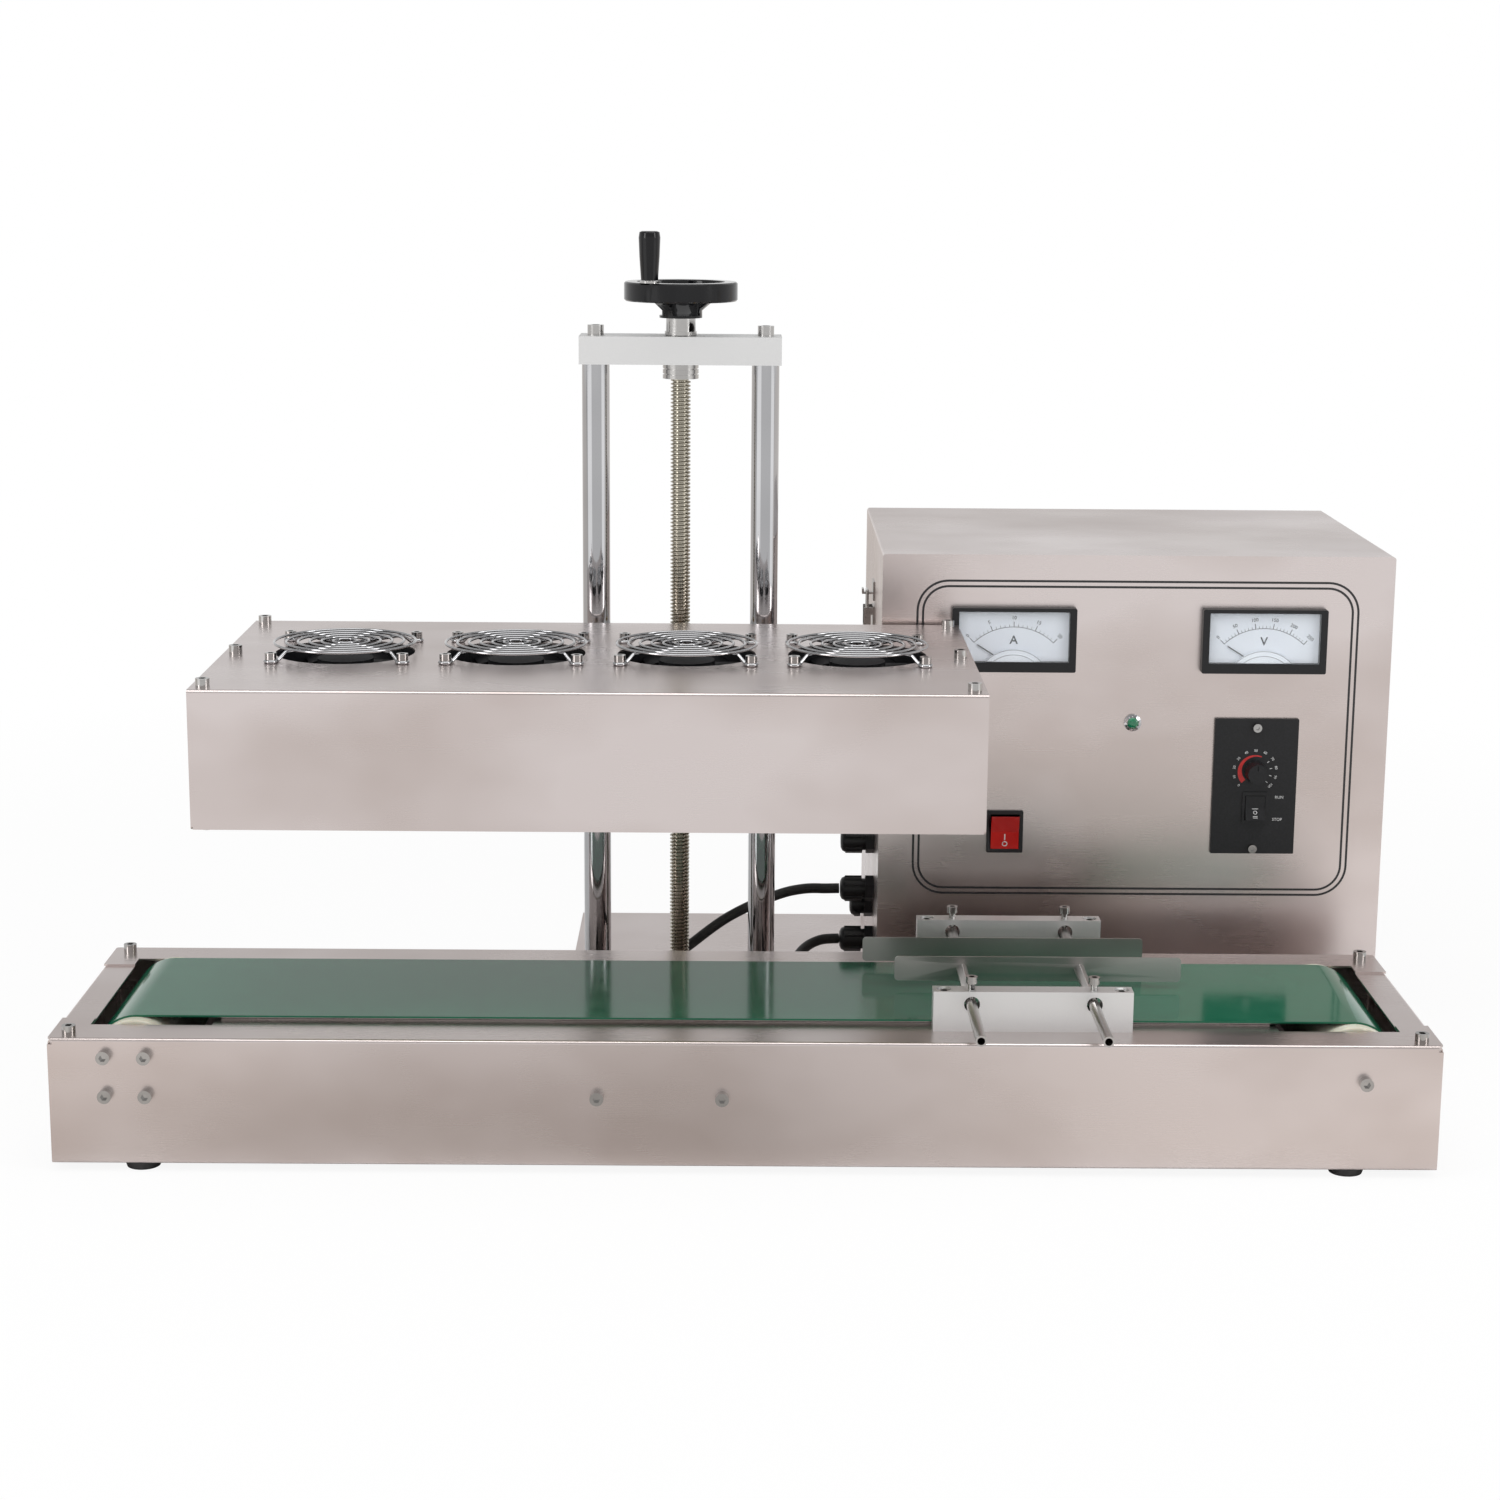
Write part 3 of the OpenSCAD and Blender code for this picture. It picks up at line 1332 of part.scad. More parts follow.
// Frame of the power switch: flange with a well for the rocker
rocker_wall = 3;
switch_t = 2.5;
well_d = 14;
module switch_body(x, z, w, h, cut) {
    translate([x, cab_y, z]) difference() {
        union() {
            rotate([90, 0, 0]) linear_extrude(switch_t) round_plate([w, h], 1);
            translate([-cut.x / 2 + air_gap / 2, -eps, -cut.y / 2 + air_gap / 2])
                cube([cut.x - air_gap, well_d + 2 * rocker_wall, cut.y - air_gap]);
        }
        translate([-(w - 2 * rocker_wall) / 2, -switch_t - eps, -(h - 2 * rocker_wall) / 2])
            cube([w - 2 * rocker_wall, well_d + switch_t, h - 2 * rocker_wall]);
    }
}

module switch_frame() {
    color("#1d1e20") switch_body(power_x, power_z, power_w, power_h, power_cut);
}

// Rocker key that tilts on its middle axis, its face a shallow valley
rocker_tilt = 9;
module rocker_key(w, h) {
    half = h / 2 - air_gap;
    lift = 2.2;
    root = 7;
    rotate([90, 0, 90]) translate([0, 0, -w / 2 + air_gap]) linear_extrude(w - 2 * air_gap)
        polygon([
            [-lift, -half], [-lift / 5, 0], [-lift, half], [root / 3, half - lift],
            [root, half / 3], [root, -half / 3], [root / 3, lift - half]
        ]);
}

module power_rocker() {
    color("#c81e1e") translate([power_x, cab_y - switch_t, power_z]) rotate([rocker_tilt, 0, 0])
        rocker_key(power_w - 2 * rocker_wall, power_h - 2 * rocker_wall);
}

// Speed control panel: plate, switch frame, knob bush
speed_t = 3;
run_x = speed_x + 1;
run_drop = 17.7;
run_z = speed_z - run_drop;
run_w = 20.7;
run_wall = 2.1;
run_h = 26.6;
knob_rise = 12.6;
knob_z = speed_z + knob_rise;
knob_d = 18;
knob_h = 13;
knob_pin_d = 6;
knob_pin_len = 8.4;
knob_taper = 1.2;
module speed_panel() {
    body_d = 40;
    color("#17181b") difference() {
        union() {
            translate([speed_x, cab_y, speed_z]) rotate([90, 0, 0]) linear_extrude(speed_t)
                round_plate([speed_w, speed_h], 1);
            translate([speed_x - speed_cut.x / 2 + air_gap, cab_y - eps,
                speed_z - speed_cut.y / 2 + air_gap])
                cube([speed_cut.x - 2 * air_gap, body_d, speed_cut.y - 2 * air_gap]);
            translate([run_x, cab_y - speed_t + eps, run_z]) rotate([90, 0, 0])
                linear_extrude(switch_t / 2 + eps) round_plate([run_w, run_h], 1);
        }
        translate([run_x - run_w / 2 + run_wall, cab_y - speed_t - switch_t,
            run_z - run_h / 2 + rocker_wall])
            cube([run_w - 2 * run_wall, well_d + switch_t, run_h - 2 * rocker_wall]);
        translate([speed_x, cab_y - speed_t - eps, knob_z]) rotate([-90, 0, 0])
            cylinder(d = knob_pin_d + 2 * run_gap, h = well_d);
        for (z = speed_screw_z) translate([speed_x, cab_y - speed_t - eps, z])
            rotate([-90, 0, 0]) cylinder(d = m4[0] + hole_gap, h = body_d);
    }
}

module run_rocker() {
    color("#111214") translate([run_x, cab_y - speed_t - switch_t / 2, run_z])
        rotate([-rocker_tilt, 0, 0])
            rocker_key(run_w - 2 * run_wall, run_h - 2 * rocker_wall);
}

module speed_knob() {
    flute = 1.6;
    flutes = 12;
    color("#141517") translate([speed_x, cab_y - speed_t - air_gap, knob_z]) rotate([90, 0, 0])
        difference() {
            union() {
                cylinder(d1 = knob_d, d2 = knob_d - 2 * knob_taper, h = knob_h);
                translate([0, 0, -knob_pin_len])
                    cylinder(d = knob_pin_d, h = knob_pin_len + eps);
            }
            for (i = [0:flutes - 1]) rotate(i * 360 / flutes)
                translate([knob_d / 2 + flute / 5, 0, eps]) cylinder(d = flute, h = knob_h, $fn = 16);
            translate([-flute / 4, knob_d / 6, knob_h - flute / 2])
                cube([flute / 2, knob_d / 2, flute]);
        }
}

// Mains inlet in the back: flange, socket well and three pins
inlet_in = 60;
inlet_x = cab_x + cab_w - inlet_in;
inlet_z = tray_top + inlet_in;
inlet_cut = [28, 20];
inlet_flange = [40, 30];
inlet_body = 26;
inlet_well = [24, 16];
inlet_pin = [2, 12, 5];
pin_pitch = 7;
pin_drop = 2;
module mains_inlet() {
    color("#1a1a1c") translate([inlet_x, tray_back, inlet_z]) difference() {
        union() {
            rotate([-90, 0, 0]) linear_extrude(inlet_flange_t)
                round_plate(inlet_flange, inlet_flange_t);
            translate([-inlet_cut.x / 2 + air_gap / 2, -inlet_body, -inlet_cut.y / 2 + air_gap / 2])
                cube([inlet_cut.x - air_gap, inlet_body + eps, inlet_cut.y - air_gap]);
        }
        translate([-inlet_well.x / 2, -inlet_well.y, -inlet_well.y / 2])
            cube([inlet_well.x, 2 * inlet_well.y, inlet_well.y]);
    }
    color("#c9b36a") translate([inlet_x, tray_back - inlet_well.y - eps, inlet_z])
        for (k = [-1, 0, 1]) translate([k * pin_pitch - inlet_pin.x / 2, 0,
            (k == 0 ? pin_drop : -pin_drop) - inlet_pin.z / 2]) cube(inlet_pin);
}

// Draw latch on the left side: base plate with ears, keeper with a hook
latch_y = 450;
latch_w = 22;
latch_t = 1.5;
latch_base_h = 34;
latch_base_up = 4;
keeper_h = 16;
keeper_gap = 2;
keeper_w = 9;
ear_t = 1.5;
ear_h = 6;
pivot_out = 6;
pivot_drop = 7;
pivot_z = side_top - pivot_drop;
latch_pin_d = 3;
bail_wire = 2.4;
bail_r = 7;
bail_len = 24;
hook_lip = 3;
hook_out = 9;
lever_w = latch_w - 2 * ear_t - 2 * air_gap;
cheek_t = 1.2;
hook_z = pivot_z - bail_r + bail_len - bail_wire / 2 - latch_t - air_gap;
module latch_plates() {
    stub = ear_t + air_gap + cheek_t;
    color("#c9c9c6") union() {
        translate([cab_x - latch_t, latch_y - latch_w / 2, pivot_z - latch_base_h + latch_base_up])
            cube([latch_t, latch_w, latch_base_h]);
        for (s = [-1, 1]) translate([cab_x, latch_y + s * latch_w / 2, pivot_z]) {
            translate([-pivot_out - ear_h / 2, s > 0 ? -ear_t : 0, -ear_h / 2])
                cube([pivot_out + ear_h / 2, ear_t, ear_h]);
            translate([-pivot_out, 0, 0]) rotate([90 * s, 0, 0])
                cylinder(d = latch_pin_d, h = stub);
        }
    }
    color("#c9c9c6") translate([cab_x - latch_t, latch_y, 0]) union() {
        translate([0, -latch_w / 2, side_top + keeper_gap]) cube([latch_t, latch_w, keeper_h]);
        translate([-hook_out, -keeper_w / 2, hook_z]) cube([hook_out + latch_t / 2, keeper_w, latch_t]);
        translate([-hook_out, -keeper_w / 2, hook_z]) cube([latch_t, keeper_w, latch_t + hook_lip]);
    }
}

// Lever: two cheeks on the ear pins and a handle plate
lever_len = 40;
cheek_w = 6;
cheek_up = 2;
cheek_down = 14;
module latch_lever() {
    r = run_gap;
    color("#d2d2cf") translate([cab_x - pivot_out, latch_y, pivot_z]) difference() {
        union() {
            for (s = [-1, 1]) translate([-cheek_w / 2, s > 0 ? lever_w / 2 - cheek_t : -lever_w / 2,
                -cheek_down]) cube([cheek_w, cheek_t, cheek_down + cheek_up]);
            translate([-cheek_w / 2, -lever_w / 2, -lever_len])
                cube([cheek_t, lever_w, lever_len - cheek_down + cheek_up]);
        }
        translate([0, latch_w, 0]) rotate([90, 0, 0])
            cylinder(d = latch_pin_d + 2 * r, h = 2 * latch_w);
        translate([0, latch_w, -bail_r]) rotate([90, 0, 0])
            cylinder(d = bail_wire + 2 * r, h = 2 * latch_w);
    }
}

// Wire bail hung in the lever cheeks, its cross wire over the hook
module latch_bail() {
    leg_y = lever_w / 2 - cheek_t - air_gap - bail_wire / 2;
    foot = cheek_t + air_gap + bail_wire / 2;
    color("#d6d6d3") translate([cab_x - pivot_out, latch_y, pivot_z - bail_r]) union() {
        for (s = [-1, 1]) translate([0, s * leg_y, 0]) {
            cylinder(d = bail_wire, h = bail_len);
            sphere(d = bail_wire);
            translate([0, 0, bail_len]) sphere(d = bail_wire);
            rotate([-90 * s, 0, 0]) cylinder(d = bail_wire, h = foot);
        }
        translate([0, leg_y, bail_len]) rotate([90, 0, 0]) cylinder(d = bail_wire, h = 2 * leg_y);
    }
}

// Inverter on its finned heat sink, on the cabinet floor
sink_w = 150;
sink_d = 120;
sink_h = 60;
fin_t = 3;
fin_pitch = 9;
module power_module() {
    base = 10;
    board_h = 22;
    x0 = cab_x + cab_w / 2 - sink_w / 2;
    y0 = cab_y + cab_d / 2 - sink_d / 2;
    z0 = tray_top + sheet;
    color("#8e9194") translate([x0, y0, z0]) union() {
        translate([0, 0, sink_h - base]) cube([sink_w, sink_d, base]);
        for (i = [0:floor((sink_w - fin_t) / fin_pitch)]) translate([i * fin_pitch, 0, 0])
            cube([fin_t, sink_d, sink_h - base + eps]);
        translate([base, base, sink_h]) cube([sink_w - 2 * base, sink_d - 2 * base, board_h]);
    }
}

// Route of a lead, swept as a tube of eight sides
lead_d = 8.5;
lead_sides = 8;
route_depth = 144;
route_cab_x = 108;
lead_a = [
    [79, 144, 114], [66, 143, 114], [53, 139, 115], [36, 132, 114], [18, 123, 110],
    [0, 115, 104], [-17, 109, 96], [-33, 106, 85], [-47, 105, 74], [-61, 103, 65],
    [-74, 95, 60], [-84, 82, 59], [-93, 68, 60], [-105, 57, 61], [-118, 48, 62],
    [-128, 37, 62], [-131, 24, 62], [-131, 11, 62]
];
lead_b = [
    [79, 144, 70], [66, 141, 70], [55, 133, 68], [47, 120, 65], [42, 104, 62],
    [39, 87, 60], [37, 69, 60], [36, 50, 61], [36, 32, 62], [36, 11, 62]
];

function laid(route) = [for (p = route) let (share = p.y / route_depth) [
    p.x + share * (cab_x - route_cab_x),
    frame_depth + share * (cab_y + gland_places[1].x - frame_depth), p.z]];
function unit(v) = v / norm(v);
function tangent(p, i) = unit(p[min(i + 1, len(p) - 1)] - p[max(i - 1, 0)]);
function side_vec(t) = unit(cross(t, [0, 0, 1]));
function ring(p, i) = let (t = tangent(p, i), u = side_vec(t), w = cross(u, t))
    [for (k = [0:lead_sides - 1]) let (a = k * 360 / lead_sides)
        p[i] + lead_d / 2 * (cos(a) * u + sin(a) * w)];

module lead(p) {
    n = len(p);
    s = lead_sides;
    points = [for (i = [0:n - 1], q = ring(p, i)) q];
    walls = [for (i = [0:n - 2], k = [0:s - 1])
        [i * s + k, i * s + (k + 1) % s, (i + 1) * s + (k + 1) % s, (i + 1) * s + k]];
    first = [for (k = [s - 1:-1:0]) k];
    last = [for (k = [0:s - 1]) (n - 1) * s + k];
    polyhedron(points = points, faces = concat(walls, [first], [last]));
}

module motor_leads() {
    color("#161617") {
        lead(laid(lead_a));
        lead(laid(lead_b));
    }
}

place() side_panel_front();
place() side_panel_rear();
place() end_pieces();
place() slider_bed();
place() conveyor_belt();
place() drive_roller();
place() drive_shaft();
place() idler_roller();
place() bearing_blocks();
place() idler_mount();
place() crossmember();
place() drive_motor();
place() motor_pulley();
place() timing_belt();
place() rubber_feet();
place() base_tray();
place() frame_screws();
place() guide_blocks();
place() front_guide();
place() rear_guide();
place() head_cover();
place() head_ends();
place() head_base();
place() head_screws();
place() fan_frames();
place() fan_rotor_1();
place() fan_rotor_2();
place() fan_rotor_3();
place() fan_rotor_4();
place() fan_guards();
place() induction_coil();
place() head_gland();
place() lift_carriage();
place() carriage_bushings();
place() lift_columns();
place() lift_crossbars();
place() lead_screw();
place() screw_hardware();
place() handwheel();
place() wheel_grip();
place() cabinet_body();
place() cabinet_lid();
place() meter_housings();
place() ammeter_needle();
place() voltmeter_needle();
place() lamp_bezel();
place() lamp_lens();
place() switch_frame();
place() power_rocker();
place() speed_panel();
place() run_rocker();
place() speed_knob();
place() cable_glands();
place() mains_inlet();
place() latch_plates();
place() latch_lever();
place() latch_bail();
place() power_module();
place() motor_leads();
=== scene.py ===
import json
import math

import bpy
from mathutils import Matrix, Vector


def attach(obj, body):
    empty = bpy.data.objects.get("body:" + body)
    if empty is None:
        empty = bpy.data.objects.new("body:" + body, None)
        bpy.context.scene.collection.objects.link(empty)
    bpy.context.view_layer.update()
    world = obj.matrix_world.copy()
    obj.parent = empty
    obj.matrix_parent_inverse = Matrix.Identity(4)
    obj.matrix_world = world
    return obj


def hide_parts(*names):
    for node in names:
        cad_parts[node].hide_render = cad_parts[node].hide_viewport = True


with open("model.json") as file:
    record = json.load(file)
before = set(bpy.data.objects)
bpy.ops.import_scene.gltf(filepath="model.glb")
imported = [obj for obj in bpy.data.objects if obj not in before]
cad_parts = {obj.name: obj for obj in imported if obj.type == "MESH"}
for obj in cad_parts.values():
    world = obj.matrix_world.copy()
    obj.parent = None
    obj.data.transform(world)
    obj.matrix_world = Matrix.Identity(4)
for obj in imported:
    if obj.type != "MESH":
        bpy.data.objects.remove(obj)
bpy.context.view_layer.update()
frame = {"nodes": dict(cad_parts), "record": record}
nodes = frame["nodes"]
print("frame loaded:", len(nodes), "CAD nodes")

# sizes below are in millimetres, from the middle of the conveyor's front panel at the floor
mm = 0.001
# where the frame has its own origin, in those millimetres
machineOrigin = Vector((9.5, 280.0, 0.0))
quarterTurn = math.pi / 2


def place(x, y, z):
    return (Vector((x, y, z)) - machineOrigin) * mm


def deselectAll():
    if bpy.context.mode != "OBJECT":
        bpy.ops.object.mode_set(mode="OBJECT")
    bpy.ops.object.select_all(action="DESELECT")


def pick(*things):
    deselectAll()
    for thing in things:
        thing.select_set(True)
    bpy.context.view_layer.objects.active = things[0]


def settle(thing, name):
    # the place, turn and size go into the mesh, as a CAD node has them
    pick(thing)
    bpy.ops.object.transform_apply(location=True, rotation=True, scale=True)
    thing.name = name
    return thing


def joinAll(things, name):
    pick(*things)
    if len(things) > 1:
        bpy.ops.object.join()
    return settle(bpy.context.object, name)


def applyModifier(thing, kind, **settings):
    pick(thing)
    modifier = thing.modifiers.new(kind.title(), kind)
    for key, value in settings.items():
        setattr(modifier, key, value)
    bpy.ops.object.modifier_apply(modifier=modifier.name)


def finishPiece(piece, material, body):
    piece.data.materials.clear()
    piece.data.materials.append(material)
    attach(piece, body)


# finishes: all patterns are noise in object coordinates, so they stay on the piece
# a noise value lies mostly within this span
noiseSpan = (0.3, 0.7)


def feed(tree, socket, value):
    # a socket takes a plain value or what another node gives
    if isinstance(value, bpy.types.NodeSocket):
        tree.links.new(value, socket)
    else:
        socket.default_value = value


def addNode(tree, kind, **sockets):
    node = tree.nodes.new(kind)
    for key, value in sockets.items():
        feed(tree, node.inputs[key.replace("_", " ")], value)
    return node


def mathNode(tree, operation, first, second):
    node = tree.nodes.new("ShaderNodeMath")
    node.operation = operation
    feed(tree, node.inputs[0], first)
    feed(tree, node.inputs[1], second)
    return node.outputs[0]


def rangeNode(tree, value, low, high, toLow=0.0, toHigh=1.0):
    node = addNode(tree, "ShaderNodeMapRange", Value=value, From_Min=low, From_Max=high,
                   To_Min=toLow, To_Max=toHigh)
    return node.outputs["Result"]


def rampNode(tree, value, stops):
    # stops are (place, colour), from 0 to 1
    node = addNode(tree, "ShaderNodeValToRGB", Fac=value)
    ramp = node.color_ramp
    for i, (at, colour) in enumerate(stops):
        stop = ramp.elements[i] if i < 2 else ramp.elements.new(at)
        stop.position = at
        stop.color = (*colour, 1)
    return node.outputs["Color"]


def newFinish(name, colour, rough, metal=0.0, **sockets):
    finish = bpy.data.materials.new(name)
    finish.use_nodes = True
    shader = finish.node_tree.nodes["Principled BSDF"]
    shader.inputs["Base Color"].default_value = (*colour, 1)
    shader.inputs["Roughness"].default_value = rough
    shader.inputs["Metallic"].default_value = metal
    for key, value in sockets.items():
        shader.inputs[key.replace("_", " ")].default_value = value
    return finish


def patternOn(finish, scale, stretch=(1, 1, 1), detail=4.0):
    tree = finish.node_tree
    coords = tree.nodes.new("ShaderNodeTexCoord")
    mapping = addNode(tree, "ShaderNodeMapping", Vector=coords.outputs["Object"], Scale=stretch)
    return addNode(tree, "ShaderNodeTexNoise", Vector=mapping.outputs["Vector"], Scale=scale,
                   Detail=detail).outputs["Fac"]


def drive(finish, value, socket):
    feed(finish.node_tree, finish.node_tree.nodes["Principled BSDF"].inputs[socket], value)


def tint(finish, value, dark, light, span=noiseSpan):
    stops = [(span[0], dark), (span[1], light)]
    drive(finish, rampNode(finish.node_tree, value, stops), "Base Color")


def relief(finish, value, strength, distance):
    bump = addNode(finish.node_tree, "ShaderNodeBump", Height=value, Strength=strength,
                   Distance=distance)
    drive(finish, bump.outputs["Normal"], "Normal")


# brushed sheet: broad clouds of tone, smears of gloss and faint fine lines along X
clouds = dict(size=4.5, stretch=(1, 1, 1.5), detail=3, span=(0.38, 0.62))
smears = dict(size=7, stretch=(1, 1.6, 1.6), rough=(-0.03, 0.05))
lines = dict(size=30, stretch=(0.5, 90, 90), detail=2, rough=(-0.008, 0.008), bump=0.012,
             depth=0.00003)


def sheetSteel(name, dark, light, rough):
    finish = newFinish(name, light, rough, 1.0)
    tree = finish.node_tree
    cloud = patternOn(finish, clouds["size"], clouds["stretch"], clouds["detail"])
    tint(finish, cloud, dark, light, clouds["span"])
    line = patternOn(finish, lines["size"], lines["stretch"], lines["detail"])
    smear = patternOn(finish, smears["size"], smears["stretch"])
    low, high = smears["rough"]
    fine = rangeNode(tree, line, *noiseSpan, *lines["rough"])
    broad = rangeNode(tree, smear, *noiseSpan, rough + low, rough + high)
    drive(finish, mathNode(tree, "ADD", fine, broad), "Roughness")
    relief(finish, line, lines["bump"], lines["depth"])
    return finish


# an even finish with a fine grain in its tone and gloss
grainLook = dict(detail=5, rough=(-0.02, 0.03), bump=0.25)


def speckled(name, dark, light, rough, metal, size, bumpDepth, **sockets):
    finish = newFinish(name, light, rough, metal, **sockets)
    grain = patternOn(finish, size, detail=grainLook["detail"])
    tint(finish, grain, dark, light)
    low, high = grainLook["rough"]
    gloss = rangeNode(finish.node_tree, grain, *noiseSpan, rough + low, rough + high)
    drive(finish, gloss, "Roughness")
    if bumpDepth:
        relief(finish, grain, grainLook["bump"], bumpDepth)
    return finish


# each row has a dark and a light tone and the roughness, and a speckled one also how metallic
# it is, the size of its grain and the depth of its bump in metres
finishes = {
    "stainless": sheetSteel("stainlessSheet", (0.575, 0.50, 0.475), (0.70, 0.63, 0.615), 0.27),
    "polished_steel": sheetSteel("polishedSteel", (0.43, 0.41, 0.395), (0.52, 0.50, 0.485), 0.32),
    "screw_steel": speckled("screwSteel", (0.38, 0.37, 0.36), (0.46, 0.45, 0.44), 0.13, 1, 60, 0),
    "belt_green": speckled("beltGreen", (0.010, 0.115, 0.062), (0.014, 0.135, 0.074), 0.10, 0, 60,
                           0, Specular_IOR_Level=0.46),
    "roller_nylon": speckled("rollerNylon", (0.66, 0.62, 0.50), (0.78, 0.74, 0.62), 0.34, 0, 90,
                             0.00003, Subsurface_Weight=0.08),
    "aluminium": speckled("satinAluminium", (0.745, 0.745, 0.745), (0.765, 0.765, 0.76), 0.45, 1,
                          900, 0.00001),
    "chrome": speckled("hardChrome", (0.41, 0.41, 0.42), (0.45, 0.45, 0.46), 0.06, 1, 12, 0),
    "lead_screw": speckled("screwThread", (0.36, 0.335, 0.28), (0.44, 0.41, 0.345), 0.15, 1, 25, 0),
    "bronze": speckled("bushBronze", (0.45, 0.28, 0.10), (0.60, 0.40, 0.17), 0.28, 1, 200, 0.00002),
    "black_plastic": speckled("blackMoulded", (0.010, 0.010, 0.011), (0.016, 0.016, 0.018), 0.38, 0,
                              700, 0.00002, Specular_IOR_Level=0.3),
    "wheel_black": speckled("blackPhenolic", (0.005, 0.005, 0.006), (0.008, 0.008, 0.009), 0.10, 0,
                            20, 0, Specular_IOR_Level=0.28),
    "needle": speckled("needleLacquer", (0.010, 0.010, 0.010), (0.020, 0.020, 0.020), 0.30, 0, 300,
                       0),
    "red_rocker": speckled("redRocker", (0.50, 0.010, 0.010), (0.62, 0.018, 0.015), 0.12, 0, 40, 0,
                           Coat_Weight=1.0),
    "lamp_green": speckled("greenLens", (0.004, 0.13, 0.055), (0.010, 0.24, 0.11), 0.10, 0, 80, 0,
                           Coat_Weight=0.6),
    "rubber_black": speckled("blackRubber", (0.012, 0.012, 0.012), (0.024, 0.024, 0.024), 0.55, 0,
                             500, 0.00005),
    "copper": speckled("woundCopper", (0.42, 0.17, 0.07), (0.66, 0.33, 0.16), 0.32, 1, 260,
                       0.00008),
    "base_board": speckled("glassFibreBoard", (0.52, 0.50, 0.36), (0.66, 0.63, 0.50), 0.45, 0, 350,
                           0.00005),
    "motor_grey": speckled("motorEnamel", (0.040, 0.045, 0.050), (0.065, 0.070, 0.078), 0.32, 0,
                           420, 0.00005),
}
slotOf = {part["node"]: part["material_slot"] for part in frame["record"]["subparts"]}
for nodeName, node in nodes.items():
    node.data.materials.clear()
    node.data.materials.append(finishes[slotOf[nodeName]])
print("finishes on every CAD node")

rotorBlack = speckled("rotorBlack", (0.004, 0.004, 0.005), (0.007, 0.007, 0.008), 0.55, 0, 300, 0,
                      Specular_IOR_Level=0.15)
blackInk = speckled("blackInk", (0.010, 0.010, 0.011), (0.022, 0.022, 0.024), 0.40, 0, 500, 0)
whiteInk = speckled("whiteInk", (0.62, 0.62, 0.62), (0.74, 0.74, 0.74), 0.50, 0, 500, 0)
# painted shade: grey for the line of shade along the raised edges of the pivot covers
paintedEdgeShade = speckled("paintedEdgeShade", (0.12, 0.12, 0.13), (0.18, 0.18, 0.19), 0.45, 0, 500, 0)
redInk = speckled("redInk", (0.50, 0.020, 0.020), (0.62, 0.032, 0.030), 0.45, 0, 500, 0)
dialPaper = speckled("dialPaper", (0.84, 0.88, 0.95), (0.88, 0.92, 0.98), 0.55, 0, 60, 0)
coverWhite = speckled("dialCover", (0.82, 0.86, 0.92), (0.88, 0.92, 0.96), 0.22, 0, 60, 0)
clearWindow = newFinish("clearWindow", (0.90, 0.95, 1.0), 0.03, Alpha=0.10)

# a copy of the node, merged and shaded smooth, stands for it
smoothParts = ["lift_columns", "handwheel", "wheel_grip", "screw_hardware", "fan_guards",
               "drive_roller", "idler_roller", "conveyor_belt", "guide_blocks", "head_screws",
               "frame_screws", "speed_knob", "lamp_bezel", "lamp_lens", "rubber_feet",
               "drive_shaft", "cable_glands", "fan_frames", "fan_rotor_1", "fan_rotor_2",
               "fan_rotor_3", "fan_rotor_4", "drive_motor", "lift_crossbars", "lift_carriage",
               "latch_lever",
               "latch_bail", "front_guide", "rear_guide", "head_cover", "head_ends",
               "side_panel_front", "side_panel_rear", "cabinet_lid", "cabinet_body", "end_pieces",
               "latch_plates", "meter_housings", "switch_frame", "speed_panel", "power_rocker",
               "run_rocker"]
smoothing = dict(merge=0.00001, flat=0.3, angle=32, weight=100)
bodyOf = {node: body for body, members in frame["record"]["behaviour"]["bodies"].items()
          for node in members}


def smoothCopy(nodeName):
    source = nodes[nodeName]
    piece = source.copy()
    piece.data = source.data.copy()
    bpy.context.scene.collection.objects.link(piece)
    # a piece of its own, without what the frame wrote on the node
    piece.parent = None
    for key in list(piece.keys()):
        del piece[key]
    piece.name = nodeName + "Smooth"
    pick(piece)
    bpy.ops.object.mode_set(mode="EDIT")
    bpy.ops.mesh.select_all(action="SELECT")
    bpy.ops.mesh.remove_doubles(threshold=smoothing["merge"])
    # flat faces become whole, so that their shading stays flat
    bpy.ops.mesh.dissolve_limited(angle_limit=math.radians(smoothing["flat"]))
    bpy.ops.object.mode_set(mode="OBJECT")
    bpy.ops.object.shade_smooth_by_angle(angle=math.radians(smoothing["angle"]))
    applyModifier(piece, "WEIGHTED_NORMAL", weight=smoothing["weight"], keep_sharp=True)
    finish = rotorBlack if nodeName.startswith("fan_rotor") else finishes[slotOf[nodeName]]
    finishPiece(piece, finish, bodyOf[nodeName])
    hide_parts(nodeName)


for nodeName in smoothParts:
    smoothCopy(nodeName)
print("turned and bent parts shaded smooth")

# lead screw: low and high are the ends of its thread, foot and top those of its journals
leadScrew = dict(x=-54.5, y=330, low=52.3, high=546.3, crest=8.0, root=6.3, journal=6.0,
                 foot=41.0, top=611.2, pitch=3.0, steps=24, merge=0.00002, cornerWidth=0.0005,
                 smoothAngle=25)


